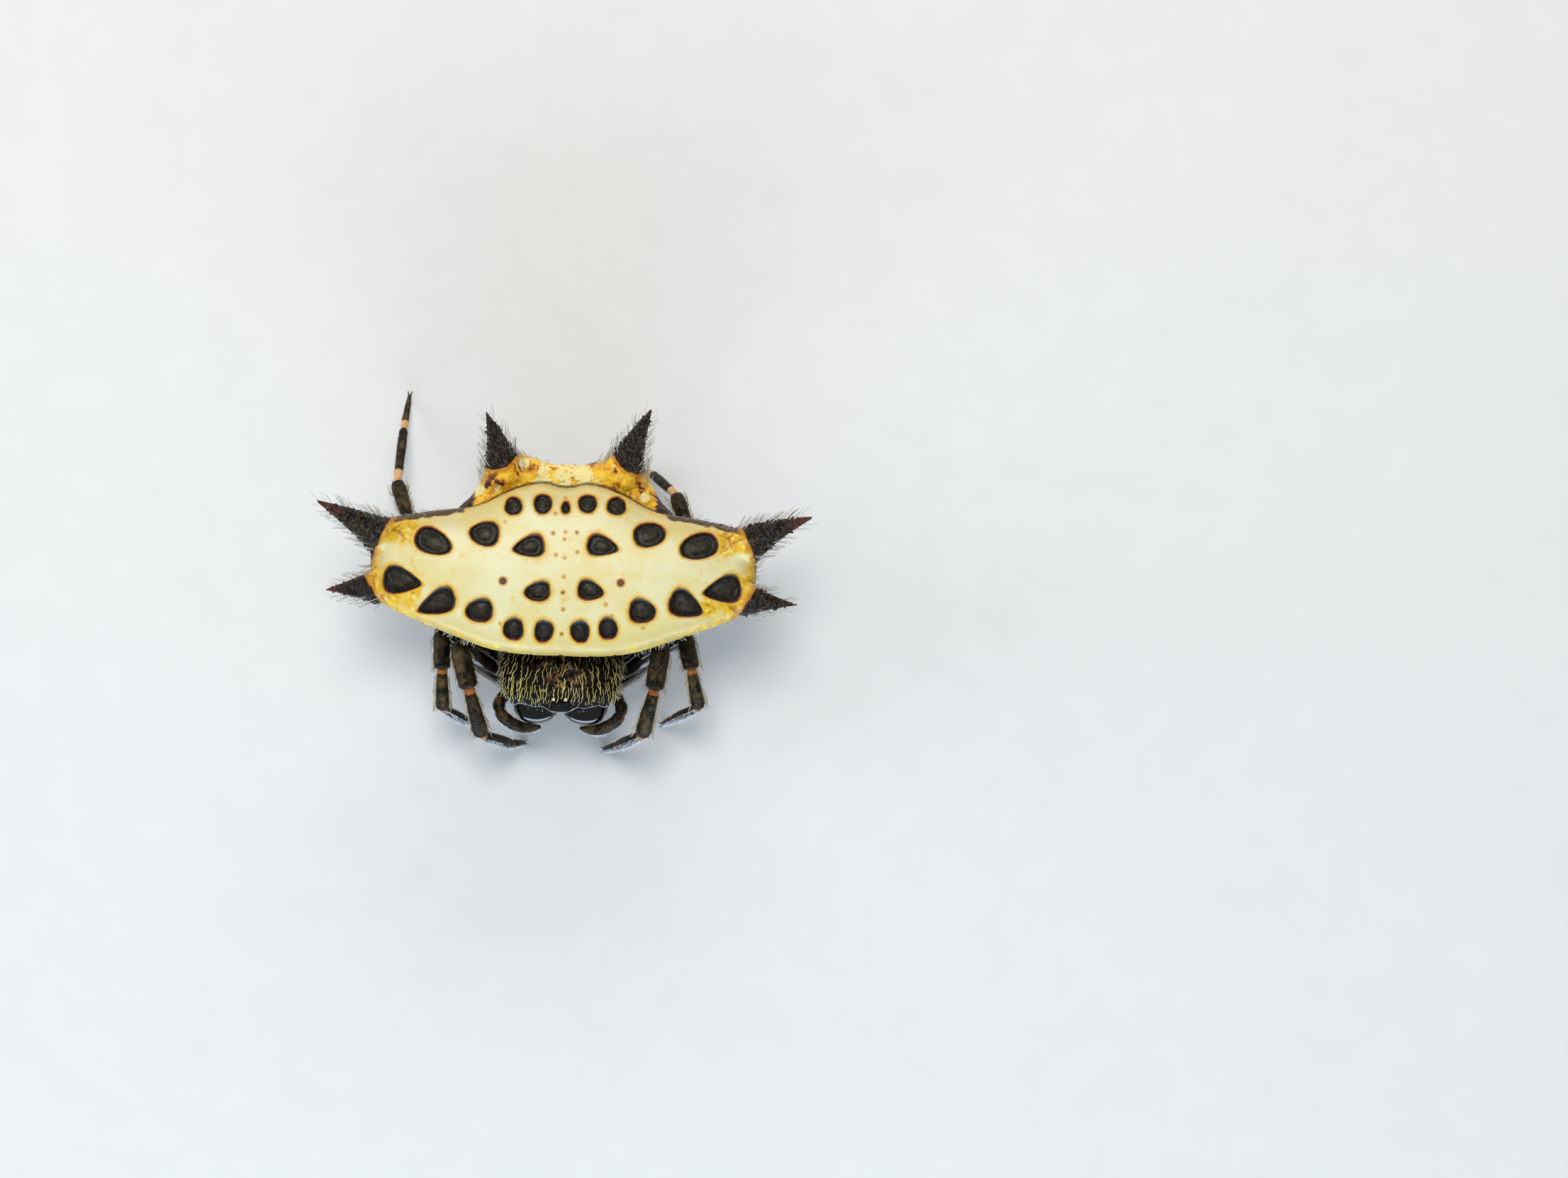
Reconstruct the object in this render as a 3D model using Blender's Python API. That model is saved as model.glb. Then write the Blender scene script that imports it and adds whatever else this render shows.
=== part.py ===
# Spiny orb weaver, a still life-size female that stands on the floor on its eight legs.
# Sizes are in millimetres and become metres where a mesh is made. The head points along -Y,
# +Z is up and the floor is z = 0. Left and right are the animal's own, so left is +X.

import math

import bmesh
import bpy
import numpy as np
from mathutils import Matrix, Vector

# Driving sizes. All places below count from the middle of the shield, which lies body_forward
# behind the origin, so that the origin is on the floor under the middle of the whole outline.
metre = 0.001
body_forward = 0.235
piece_gap = 0.18
socket_gap = 0.04
rim_height = 3.85
crown_rise = 0.62
rim_drop = 0.42
shield_half_width = 5.0
shield_thickness_power = 2.6
spot_depth = 0.07
sternum_height = 1.1
spinneret_place = (0.0, 0.72)
lowest_ring = 0.95

# The rim of the shield, as (sideways, along) from the midline to the side
front_rim = [
    (0.0, -2.25), (0.8, -2.25), (1.85, -2.13), (2.85, -1.79), (3.95, -1.38), (4.82, -1.0), (5.0, -0.88),
]
rear_rim = [
    (0.0, 2.20), (0.5, 2.26), (1.0, 2.20), (1.6, 1.98), (2.1, 1.71), (2.5, 1.57), (3.0, 1.49), (3.95, 1.33),
    (4.67, 1.18), (5.0, 1.05),
]

# The dark sunken spots of one half, as (sideways, along, half width, half length)
spots = {
    "front outer": (4.20, -0.46, 0.48, 0.31),
    "front second": (3.27, -0.96, 0.46, 0.29),
    "front third": (2.13, -1.15, 0.34, 0.28),
    "front fourth": (1.24, -1.61, 0.24, 0.27),
    "front inner": (0.47, -1.68, 0.23, 0.27),
    "middle front": (0.70, -0.63, 0.32, 0.24),
    "middle rear": (0.96, 0.55, 0.39, 0.26),
    "rear outer": (3.46, 0.62, 0.48, 0.32),
    "rear second": (2.16, 0.88, 0.38, 0.31),
    "rear third": (1.35, 1.62, 0.22, 0.23),
    "rear inner": (0.58, 1.68, 0.22, 0.24),
}

# The six spines, as (middle of the base, tip, radius of the base)
spines = {
    "front left": ((4.85, -0.64, 3.85), (6.16, -0.75, 4.0), 0.40),
    "front right": ((-4.85, -0.60, 3.85), (-6.20, -0.75, 4.0), 0.45),
    "side left": ((4.78, 0.78, 3.90), (6.50, 1.53, 4.4), 0.45),
    "side right": ((-4.78, 0.72, 3.90), (-6.50, 1.54, 4.4), 0.45),
    "rear left": ((1.45, 2.50, 3.50), (2.19, 4.29, 4.2), 0.56),
    "rear right": ((-1.66, 2.45, 3.50), (-2.16, 4.05, 4.2), 0.56),
}

# Level rings of the belly, as (height, half width, front, rear), from the shield to the spinnerets
belly_rings = [
    (3.72, 4.30, -1.60, 1.35), (3.45, 4.30, -1.62, 1.50), (3.25, 3.95, -1.30, 1.75), (3.0, 3.30, -0.70, 2.0),
    (2.7, 2.75, -0.32, 2.2), (2.3, 2.25, -0.12, 2.15), (1.9, 1.80, 0.0, 1.95), (1.5, 1.35, 0.08, 1.65),
    (1.15, 0.92, 0.16, 1.36), (1.02, 0.72, 0.24, 1.22), (lowest_ring, 0.5, 0.36, 1.10),
]
# The slope behind the rim, which carries the rear spines: the left half of its outline as (sideways, along),
# and its levels as (height, size about the middle)
slope_outline = [
    (0.0, 2.83), (0.5, 2.86), (0.9, 2.98), (1.3, 3.10), (1.75, 3.02), (2.08, 2.75), (2.2, 2.45), (2.36, 2.15),
    (2.55, 1.87), (2.78, 1.62), (2.85, 1.35), (2.5, 0.8), (1.3, 0.45), (0.0, 0.4),
]
slope_levels = [(3.80, 0.80), (3.68, 0.90), (3.5, 0.97), (3.2, 1.0), (2.85, 0.93), (2.55, 0.78)]
slope_middle = 1.2

# Upright sections of the carapace, as (along, half width, underside, top), from the rear to the face
carapace_sections = [
    (-0.74, 0.52, 1.78, 2.14), (-0.84, 0.72, 1.70, 2.24), (-1.05, 0.98, 1.64, 2.38), (-1.4, 1.28, 1.62, 2.56),
    (-1.8, 1.50, 1.70, 2.74), (-2.2, 1.61, 1.82, 2.90), (-2.6, 1.61, 1.94, 3.03), (-2.9, 1.56, 2.06, 3.08),
    (-3.12, 1.48, 2.18, 3.05), (-3.28, 1.34, 2.26, 2.98), (-3.42, 1.08, 2.34, 2.88), (-3.50, 0.72, 2.42, 2.79),
]

# Level rings of one chelicera, as (height, sideways, along, half width, half length), from the top
chelicera_rings = [
    (2.00, 0.61, -3.28, 0.26, 0.22), (1.92, 0.62, -3.33, 0.44, 0.38), (1.74, 0.64, -3.36, 0.56, 0.48),
    (1.5, 0.63, -3.36, 0.52, 0.43), (1.2, 0.56, -3.33, 0.39, 0.33), (0.95, 0.49, -3.24, 0.26, 0.25),
    (0.82, 0.46, -3.20, 0.16, 0.16),
]

# The line and radius of one palp, as (x, y, z, radius), from the mouth to the tip
palp_line = [
    (0.98, -2.62, 1.70, 0.11), (1.31, -3.00, 1.92, 0.14), (1.50, -3.22, 2.04, 0.17), (1.62, -3.45, 2.16, 0.2),
    (1.57, -3.72, 2.14, 0.2), (1.37, -3.94, 1.98, 0.2), (1.06, -4.07, 1.74, 0.19), (0.78, -4.07, 1.5, 0.15),
    (0.67, -4.04, 1.4, 0.08),
]

# The joints of the legs: foot of the coxa, trochanter, knee, and the ends of patella, tibia, metatarsus, tarsus
leg_joints = {
    "leg_1_left": [
        (0.60, -2.50, 1.1), (1.19, -2.90, 1.12), (2.62, -1.95, 2.88), (2.48, -3.00, 2.85), (2.20, -4.14, 2.1),
        (1.54, -4.33, 0.8), (1.17, -4.38, 0.0),
    ],
    "leg_1_right": [
        (-0.60, -2.50, 1.1), (-1.19, -2.90, 1.12), (-2.69, -2.05, 2.88), (-2.40, -3.13, 2.85),
        (-2.06, -4.27, 2.1), (-1.32, -4.38, 0.8), (-0.99, -4.28, 0.0),
    ],
    "leg_2_left": [
        (0.82, -2.00, 1.1), (1.45, -2.20, 1.1), (3.24, -1.54, 2.5), (3.44, -2.40, 2.5), (3.65, -3.35, 1.95),
        (3.00, -3.56, 0.8), (2.69, -3.65, 0.0),
    ],
    "leg_2_right": [
        (-0.82, -2.00, 1.1), (-1.45, -2.20, 1.1), (-3.18, -1.62, 2.5), (-3.14, -2.61, 2.5),
        (-3.11, -3.59, 1.95), (-2.52, -3.80, 0.8), (-2.26, -3.84, 0.0),
    ],
    "leg_3_left": [
        (0.82, -1.44, 1.1), (1.42, -1.28, 1.1), (2.35, -0.98, 2.25), (2.75, -0.68, 2.12), (2.97, -0.32, 1.3),
        (2.78, -0.06, 0.55), (2.62, 0.08, 0.0),
    ],
    "leg_3_right": [
        (-0.82, -1.44, 1.1), (-1.42, -1.28, 1.1), (-2.35, -0.98, 2.25), (-2.75, -0.68, 2.12),
        (-2.97, -0.32, 1.3), (-2.78, -0.06, 0.55), (-2.62, 0.08, 0.0),
    ],
    "leg_4_left": [
        (0.60, -0.93, 1.1), (1.05, -0.52, 1.12), (2.90, 0.28, 2.4), (3.45, 0.75, 2.32), (2.86, 2.31, 1.7),
        (2.20, 2.97, 0.65), (1.85, 3.12, 0.0),
    ],
    "leg_4_right": [
        (-0.60, -0.93, 1.1), (-1.05, -0.52, 1.12), (-3.20, 0.42, 2.4), (-4.05, 0.98, 2.28),
        (-4.55, 2.41, 1.5), (-4.48, 3.99, 0.5), (-4.38, 4.96, 0.0),
    ],
}
# The shape of each leg piece, as (share of its length, radius)
leg_pieces = {
    "coxa": [(0.0, 0.19), (0.3, 0.23), (0.8, 0.25), (1.0, 0.22), (1.2, 0.1)],
    "femur": [(-0.06, 0.12), (0.0, 0.20), (0.2, 0.26), (0.5, 0.28), (0.85, 0.28), (1.0, 0.22), (1.07, 0.1)],
    "patella": [(-0.16, 0.12), (0.0, 0.24), (0.4, 0.26), (0.85, 0.26), (1.0, 0.22), (1.1, 0.1)],
    "tibia": [(-0.08, 0.10), (0.0, 0.20), (0.3, 0.24), (0.75, 0.26), (0.97, 0.25), (1.08, 0.12)],
    "metatarsus": [(-0.06, 0.12), (0.04, 0.22), (0.5, 0.24), (0.95, 0.22), (1.06, 0.12)],
    "tarsus": [(-0.08, 0.12), (0.05, 0.20), (0.5, 0.20), (0.9, 0.15), (1.05, 0.12)],
}

# The eyes of one side, as (x, y, z, radius)
eyes = {
    "front_median": (0.15, -3.60, 2.60, 0.09),
    "rear_median": (0.16, -3.33, 2.94, 0.095),
    "front_lateral": (1.24, -3.40, 2.60, 0.08),
    "rear_lateral": (1.37, -3.26, 2.72, 0.08),
}

colours = {
    "shield": ((0.80, 0.70, 0.34, 1.0), 0.30),
    "carapace": ((0.045, 0.032, 0.018, 1.0), 0.45),
    "leg": ((0.040, 0.024, 0.013, 1.0), 0.35),
    "chelicera": ((0.012, 0.011, 0.013, 1.0), 0.18),
    "underside": ((0.050, 0.034, 0.018, 1.0), 0.45),
    "eye": ((0.02, 0.016, 0.012, 1.0), 0.08),
}


def clear_scene():
    for old in list(bpy.data.objects):
        bpy.data.objects.remove(old, do_unlink=True)


def material(name):
    found = bpy.data.materials.get(name)
    if found:
        return found
    colour, roughness = colours[name]
    made = bpy.data.materials.new(name)
    made.use_nodes = True
    surface = made.node_tree.nodes["Principled BSDF"]
    surface.inputs["Base Color"].default_value = colour
    surface.inputs["Roughness"].default_value = roughness
    surface.inputs["Metallic"].default_value = 0.0
    made.diffuse_color = colour
    return made


def smooth_curve(points):
    # The height of a smooth line through the points, for any place between the first and the last
    places = np.array([point[0] for point in points])
    heights = np.array([point[1] for point in points])
    slopes = np.gradient(heights, places)

    def height(place):
        index = int(np.clip(np.searchsorted(places, place) - 1, 0, len(places) - 2))
        span = places[index + 1] - places[index]
        share = (place - places[index]) / span
        start = heights[index] * (1 + 2 * share) * (1 - share) ** 2
        end = heights[index + 1] * share ** 2 * (3 - 2 * share)
        lean = slopes[index] * share * (1 - share) ** 2 - slopes[index + 1] * share ** 2 * (1 - share)
        return start + end + lean * span

    return height


front_edge = smooth_curve(front_rim)
rear_edge = smooth_curve(rear_rim)


def add_object(name, mesh, material_name):
    made = bpy.data.objects.new(name, mesh)
    bpy.context.scene.collection.objects.link(made)
    mesh.materials.append(material(material_name))
    mesh.shade_smooth()
    return made


def loft(name, rings, material_name):
    # A closed solid through rings of equally many points, its two ends filled from their middles
    shape = bmesh.new()
    levels = [[shape.verts.new(Vector(point) * metre) for point in ring] for ring in rings]
    for lower, upper in zip(levels, levels[1:]):
        for index in range(len(lower)):
            after = (index + 1) % len(lower)
            shape.faces.new((lower[index], lower[after], upper[after], upper[index]))
    for level in (levels[0], levels[-1]):
        middle = sum((vert.co for vert in level), Vector()) / len(level)
        centre = shape.verts.new(middle)
        for index in range(len(level)):
            shape.faces.new((level[index], level[(index + 1) % len(level)], centre))
    bmesh.ops.recalc_face_normals(shape, faces=shape.faces)
    bmesh.ops.triangulate(shape, faces=shape.faces)
    mesh = bpy.data.meshes.new(name)
    shape.to_mesh(mesh)
    shape.free()
    return add_object(name, mesh, material_name)


def ellipse_power(angle, power):
    # A point of a rounded square of half size 1, or of a circle at power 2
    across = math.copysign(abs(math.cos(angle)) ** (2 / power), math.cos(angle))
    along = math.copysign(abs(math.sin(angle)) ** (2 / power), math.sin(angle))
    return across, along


def level_ring(height, half_width, front, rear, sides, power):
    middle = (front + rear) / 2
    half_length = (rear - front) / 2
    ring = []
    for index in range(sides):
        across, along = ellipse_power(2 * math.pi * index / sides, power)
        ring.append((across * half_width, middle + along * half_length, height))
    return ring


def apply_boolean(target, operation, others):
    # One exact Boolean of the target with all the others, which are then removed
    group = bpy.data.collections.new("boolean pieces")
    bpy.context.scene.collection.children.link(group)
    for other in others:
        bpy.context.scene.collection.objects.unlink(other)
        group.objects.link(other)
    step = target.modifiers.new(operation.lower(), "BOOLEAN")
    step.operation = operation
    step.operand_type = "COLLECTION"
    step.collection = group
    step.solver = "EXACT"
    graph = bpy.context.evaluated_depsgraph_get()
    result = bpy.data.meshes.new_from_object(target.evaluated_get(graph), depsgraph=graph)
    target.modifiers.clear()
    old = target.data
    target.data = result
    bpy.data.meshes.remove(old)
    for other in others:
        bpy.data.objects.remove(other, do_unlink=True)
    bpy.data.collections.remove(group)
    keep_largest_surface(target)


def keep_largest_surface(target):
    shape = bmesh.new()
    shape.from_mesh(target.data)
    waiting = set(shape.verts)
    surfaces = []
    while waiting:
        first = waiting.pop()
        surface = {first}
        edge_of_search = [first]
        while edge_of_search:
            vert = edge_of_search.pop()
            for edge in vert.link_edges:
                other = edge.other_vert(vert)
                if other not in surface:
                    surface.add(other)
                    edge_of_search.append(other)
        waiting -= surface
        surfaces.append(surface)
    surfaces.sort(key=len)
    for surface in surfaces[:-1]:
        bmesh.ops.delete(shape, geom=list(surface), context="VERTS")
    bmesh.ops.dissolve_degenerate(shape, dist=2e-6, edges=shape.edges)
    bmesh.ops.triangulate(shape, faces=shape.faces)
    shape.to_mesh(target.data)
    shape.free()


def spot_drop(x, y):
    # How far the shield's top sinks at a place
    drop = 0.0
    for across, along, half_width, half_length in spots.values():
        distance = math.hypot((abs(x) - across) / half_width, (y - along) / half_length)
        share = min(max((1.2 - distance) / 0.45, 0.0), 1.0)
        drop = max(drop, share * share * (3 - 2 * share))
    return spot_depth * drop


def shield_section(x, top_points=28, under_points=9):
    front = front_edge(abs(x))
    rear = rear_edge(abs(x))
    middle = (front + rear) / 2
    past_edge = max(abs(x) - (shield_half_width - 0.13), 0.0) / 0.135
    size = math.sqrt(1 - past_edge ** 2)
    half_length = (rear - front) / 2 * (0.75 + 0.25 * size)
    rise = crown_rise * (1 - 0.42 * (abs(x) / shield_half_width) ** 3) * size
    drop = rim_drop * (1 - 0.2 * (abs(x) / shield_half_width) ** 2) * size
    power = shield_thickness_power
    ring = []
    for index in range(top_points + 1):
        even = 2 * index / top_points - 1
        share = 0.5 * even + 0.5 * math.sin(even * math.pi / 2)
        y = middle + share * half_length
        lift = (1 - min(abs(share), 1.0) ** power) ** (1 / power)
        ring.append((x, y, rim_height + rise * lift - spot_drop(x, y) * min(size, lift)))
    for index in range(1, under_points):
        share = math.cos(math.pi * index / under_points)
        lift = (1 - abs(share) ** 2.2) ** (1 / 2.2)
        ring.append((x, middle + share * half_length, rim_height - drop * lift))
    return ring


def make_shield():
    inner = shield_half_width - 0.14
    steps = 60
    places = [inner * (2 * index / steps - 1) for index in range(steps + 1)]
    places = [-shield_half_width + 0.01, -shield_half_width + 0.06] + places
    places += [shield_half_width - 0.06, shield_half_width - 0.01]
    return loft("abdomen", [shield_section(x) for x in places], "shield")


def frame_of(axis):
    # Two directions square to the axis and to each other
    axis = axis.normalized()
    start = Vector((0, 0, 1)) if abs(axis.z) < 0.9 else Vector((0, 1, 0))
    across = axis.cross(start).normalized()
    return across, across.cross(axis).normalized()


def round_ring(middle, axis, radius, sides):
    across, up = frame_of(axis)
    ring = []
    for index in range(sides):
        angle = 2 * math.pi * index / sides
        ring.append(middle + (across * math.cos(angle) + up * math.sin(angle)) * radius)
    return ring


def spindle(name, start, end, shape, sides, material_name):
    # A round rod from start to end, whose radius follows the (share, radius) pairs of its shape
    start = Vector(start)
    axis = Vector(end) - start
    rings = [round_ring(start + axis * share, axis, radius, sides) for share, radius in shape]
    return loft(name, rings, material_name)


def slope_ring(height, size):
    half = [(x * size, slope_middle + (y - slope_middle) * size, height) for x, y in slope_outline]
    mirrored = [(-x, y, z) for x, y, z in reversed(half[1:-1])]
    return half + mirrored


def make_spine(name, base, tip, radius):
    # A cone with faintly hollow sides, whose root lies well inside the body
    shape = [(-0.28, radius * 0.8), (-0.05, radius * 1.02)]
    shape += [(share, radius * (1 - share) ** 1.06 + 0.02) for share in (0.08, 0.25, 0.45, 0.68, 0.88)]
    shape.append((0.995, 0.012))
    return spindle(name, base, tip, shape, 10, "shield")


def make_abdomen():
    abdomen = make_shield()
    pieces = [
        loft("belly", [level_ring(*ring, 32, 2.2) for ring in belly_rings], "shield"),
        loft("slope", [slope_ring(*level) for level in slope_levels], "shield"),
    ]
    for name, (base, tip, radius) in spines.items():
        pieces.append(make_spine(name, base, tip, radius))
    apply_boolean(abdomen, "UNION", pieces)
    return abdomen


def make_spinnerets():
    # A short base with a front and a rear pair of cones that lean together
    x, y = spinneret_place
    base_top = lowest_ring - piece_gap
    base = loft(
        "spinnerets",
        [
            level_ring(height, radius, y - radius, y + radius, 16, 2)
            for height, radius in ((base_top, 0.24), (base_top - 0.05, 0.30), (base_top - 0.13, 0.28))
        ],
        "underside",
    )
    pairs = {"front": (0.12, -0.12, 0.13), "rear": (0.11, 0.13, 0.11)}
    cones = []
    for name, (across, along, radius) in pairs.items():
        for side in (1, -1):
            start = (x + side * across, y + along, base_top - 0.08)
            end = (x + side * across * 0.75, y + along * 0.8, base_top - 0.36)
            shape = [(0.0, radius), (0.5, radius), (0.85, radius * 0.75), (1.0, radius * 0.4)]
            cones.append(spindle(name, start, end, shape, 8, "underside"))
    apply_boolean(base, "UNION", cones)


def make_carapace():
    rings = []
    for along, half_width, underside, top in carapace_sections:
        middle = (underside + top) / 2
        half_height = (top - underside) / 2
        ring = []
        for index in range(28):
            across, up = ellipse_power(2 * math.pi * index / 28, 2.5)
            ring.append((across * half_width, along, middle + up * half_height))
        rings.append(ring)
    carapace = loft("cephalothorax", rings, "carapace")
    eye_hill = spindle(
        "eye hill", (0, -3.25, 2.74), (0, -3.66, 2.72), [(0.0, 0.3), (0.6, 0.27), (0.92, 0.2), (1.0, 0.1)], 12,
        "carapace",
    )
    apply_boolean(carapace, "UNION", [eye_hill])
    return carapace


def ball(name, place, radius, material_name, detail=10):
    mesh = bpy.data.meshes.new(name)
    shape = bmesh.new()
    bmesh.ops.create_uvsphere(shape, u_segments=detail, v_segments=detail // 2 + 1, radius=radius * metre)
    bmesh.ops.translate(shape, verts=shape.verts, vec=Vector(place) * metre)
    bmesh.ops.triangulate(shape, faces=shape.faces)
    shape.to_mesh(mesh)
    shape.free()
    return add_object(name, mesh, material_name)


def make_eyes(carapace):
    # Each eye is a small ball in a socket of its own in the head
    sockets = []
    for name, (x, y, z, radius) in eyes.items():
        for side_name, side in (("left", 1), ("right", -1)):
            place = (side * x, y, z)
            ball(f"eye_{name}_{side_name}", place, radius, "eye")
            sockets.append(ball("socket", place, radius + socket_gap, "carapace"))
    apply_boolean(carapace, "DIFFERENCE", sockets)


def make_sternum():
    y = -1.72
    rings = []
    for height, size in ((-0.24, 0.75), (-0.14, 0.96), (0.12, 1.0), (0.22, 0.9)):
        half_length = 0.98 * size
        rings.append(
            level_ring(sternum_height + height, 0.60 * size, y - half_length, y + half_length, 20, 2.3)
        )
    loft("sternum", rings, "underside")


def make_pedicel():
    start = Vector((0, carapace_sections[0][0] + piece_gap, 2.0))
    end = Vector((0, -0.05 - piece_gap, 2.04))
    spindle("pedicel", start, end, [(0.0, 0.2), (0.3, 0.23), (0.7, 0.23), (1.0, 0.2)], 12, "underside")


def make_chelicerae():
    for side_name, side in (("left", 1), ("right", -1)):
        rings = []
        for height, across, along, half_width, half_length in chelicera_rings:
            ring = level_ring(height, half_width, along - half_length, along + half_length, 16, 2.2)
            rings.append([(x + side * across, y, z) for x, y, z in ring])
        loft(f"chelicera_{side_name}", rings, "chelicera")
        hinge = (side * 0.42, -3.14, 0.66)
        bend = (side * 0.26, -3.20, 0.48)
        point = (side * 0.13, -3.10, 0.36)
        line = [(*hinge, 0.10), (*bend, 0.08), (*point, 0.03)]
        tube(f"fang_{side_name}", line, 8, "chelicera")


def tube(name, line, sides, material_name):
    # A closed tube along a line of (x, y, z, radius)
    points = [Vector(row[:3]) for row in line]
    across = None
    rings = []
    for index, point in enumerate(points):
        before = points[max(index - 1, 0)]
        after = points[min(index + 1, len(points) - 1)]
        axis = (after - before).normalized()
        if across is None:
            across, _ = frame_of(axis)
        across = (across - axis * across.dot(axis)).normalized()
        up = across.cross(axis)
        ring = []
        for side in range(sides):
            angle = 2 * math.pi * side / sides
            ring.append(point + (across * math.cos(angle) + up * math.sin(angle)) * line[index][3])
        rings.append(ring)
    return loft(name, rings, material_name)


def make_palps():
    for side_name, side in (("left", 1), ("right", -1)):
        line = [(side * x, y, z, radius) for x, y, z, radius in palp_line]
        tube(f"palp_{side_name}", line, 10, "leg")


def make_leg(name, joints):
    # Six overlapping rods, joined to one body that stands on a small flat at the floor
    pieces = []
    for index, (piece, shape) in enumerate(leg_pieces.items()):
        pieces.append(spindle(f"{name} {piece}", joints[index], joints[index + 1], shape, 8, "leg"))
    leg = pieces[0]
    leg.name = name
    apply_boolean(leg, "UNION", pieces[1:])
    shape = bmesh.new()
    shape.from_mesh(leg.data)
    everything = shape.verts[:] + shape.edges[:] + shape.faces[:]
    cut = bmesh.ops.bisect_plane(shape, geom=everything, plane_co=(0, 0, 0), plane_no=(0, 0, -1), clear_outer=True)
    rim = [piece for piece in cut["geom_cut"] if isinstance(piece, bmesh.types.BMEdge)]
    bmesh.ops.contextual_create(shape, geom=rim)
    bmesh.ops.triangulate(shape, faces=shape.faces)
    bmesh.ops.recalc_face_normals(shape, faces=shape.faces)
    shape.to_mesh(leg.data)
    shape.free()


def centre_on_floor():
    for made in bpy.context.scene.collection.objects:
        made.data.transform(Matrix.Translation((0, -body_forward * metre, 0)))


def main():
    clear_scene()
    make_abdomen()
    make_spinnerets()
    make_eyes(make_carapace())
    make_sternum()
    make_pedicel()
    make_chelicerae()
    make_palps()
    for name, joints in leg_joints.items():
        make_leg(name, joints)
    centre_on_floor()


main()
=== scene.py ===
# Spiny orb weaver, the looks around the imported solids.
# Places and sizes are in millimetres and count from the middle of the shield, and toScene() turns them
# into metres.
import math

import bpy
import numpy as np
from mathutils import Matrix, Vector


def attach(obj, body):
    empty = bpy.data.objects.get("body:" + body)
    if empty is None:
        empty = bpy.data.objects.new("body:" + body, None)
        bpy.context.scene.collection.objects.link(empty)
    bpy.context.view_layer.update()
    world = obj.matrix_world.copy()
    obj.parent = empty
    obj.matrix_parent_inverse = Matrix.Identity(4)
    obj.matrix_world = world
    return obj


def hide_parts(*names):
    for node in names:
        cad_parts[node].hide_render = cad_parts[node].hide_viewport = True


print("Loading the frame")
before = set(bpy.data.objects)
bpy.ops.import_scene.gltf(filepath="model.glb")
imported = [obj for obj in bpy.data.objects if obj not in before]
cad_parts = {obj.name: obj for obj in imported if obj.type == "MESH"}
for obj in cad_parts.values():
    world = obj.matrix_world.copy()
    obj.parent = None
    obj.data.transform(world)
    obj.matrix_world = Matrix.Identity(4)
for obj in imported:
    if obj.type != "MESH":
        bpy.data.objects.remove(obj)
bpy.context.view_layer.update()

mm = 0.001
bodyForward = 0.235  # the shield's middle lies this far in front of the origin
seedOfAll = 4711


# Plain mesh helpers

def toScene(points):
    # Millimetres from the shield's middle, as metres from the origin
    moved = np.asarray(points, float).copy()
    moved[:, 1] -= bodyForward
    return moved * mm


def buildMesh(name, points, faces):
    # faces is one array of triangles or quads, or a list of both
    groups = faces if isinstance(faces, list) else [faces]
    groups = [np.asarray(group, np.int32) for group in groups if len(group)]
    corners = np.concatenate([group.ravel() for group in groups])
    sizes = np.concatenate([np.full(len(group), group.shape[1]) for group in groups])
    starts = np.concatenate([[0], np.cumsum(sizes)[:-1]]).astype(np.int32)
    mesh = bpy.data.meshes.new(name)
    mesh.vertices.add(len(points))
    mesh.vertices.foreach_set("co", toScene(points).astype(np.float32).ravel())
    mesh.loops.add(len(corners))
    mesh.loops.foreach_set("vertex_index", corners)
    mesh.polygons.add(len(starts))
    mesh.polygons.foreach_set("loop_start", starts)
    mesh.update(calc_edges=True)
    mesh.validate()
    mesh.shade_smooth()
    return mesh


def addPaint(mesh, paint):
    for name, values in paint.items():
        attribute = mesh.attributes.new(name, "FLOAT", "POINT")
        attribute.data.foreach_set("value", np.asarray(values, np.float32))


def meshPiece(name, points, faces, material, replaced=(), paint=None):
    # One finished piece on the body, with paint as {attribute name: value for each point}
    mesh = buildMesh(name, points, faces)
    addPaint(mesh, paint or {})
    return finishPiece(name, mesh, material, replaced)


def linkedObject(name, data):
    made = bpy.data.objects.new(name, data)
    bpy.context.scene.collection.objects.link(made)
    return made


def finishPiece(name, mesh, material, replaced=()):
    mesh.materials.clear()
    mesh.materials.append(material)
    piece = linkedObject(name, mesh)
    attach(piece, "root")
    if replaced:
        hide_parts(*replaced)
    return piece


def smoothLine(points, samples=400):
    # Places and heights of a smooth line through (place, height) points
    points = sorted(points)
    places = np.array([point[0] for point in points], float)
    heights = np.array([point[1] for point in points], float)
    slopes = np.gradient(heights, places)
    wanted = np.linspace(places[0], places[-1], samples)
    index = np.clip(np.searchsorted(places, wanted) - 1, 0, len(places) - 2)
    span = places[index + 1] - places[index]
    share = (wanted - places[index]) / span
    value = heights[index] * (1 + 2 * share) * (1 - share) ** 2
    value += heights[index + 1] * share ** 2 * (3 - 2 * share)
    value += slopes[index] * span * share * (1 - share) ** 2
    value -= slopes[index + 1] * span * share ** 2 * (1 - share)
    return wanted, value


def lookUp(line, places):
    return np.interp(places, line[0], line[1])


def ease(low, high, value):
    share = np.clip((value - low) / (high - low), 0, 1)
    return share * share * (3 - 2 * share)


def unit(vectors):
    vectors = np.asarray(vectors, float)
    return vectors / np.maximum(np.linalg.norm(vectors, axis=-1, keepdims=True), 1e-12)


# Grown skins: a field is negative inside, and its zero surface becomes a mesh of quads

def smoothJoin(first, second, width):
    share = np.clip(0.5 + 0.5 * (second - first) / width, 0, 1)
    return second + (first - second) * share - width * share * (1 - share)


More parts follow.
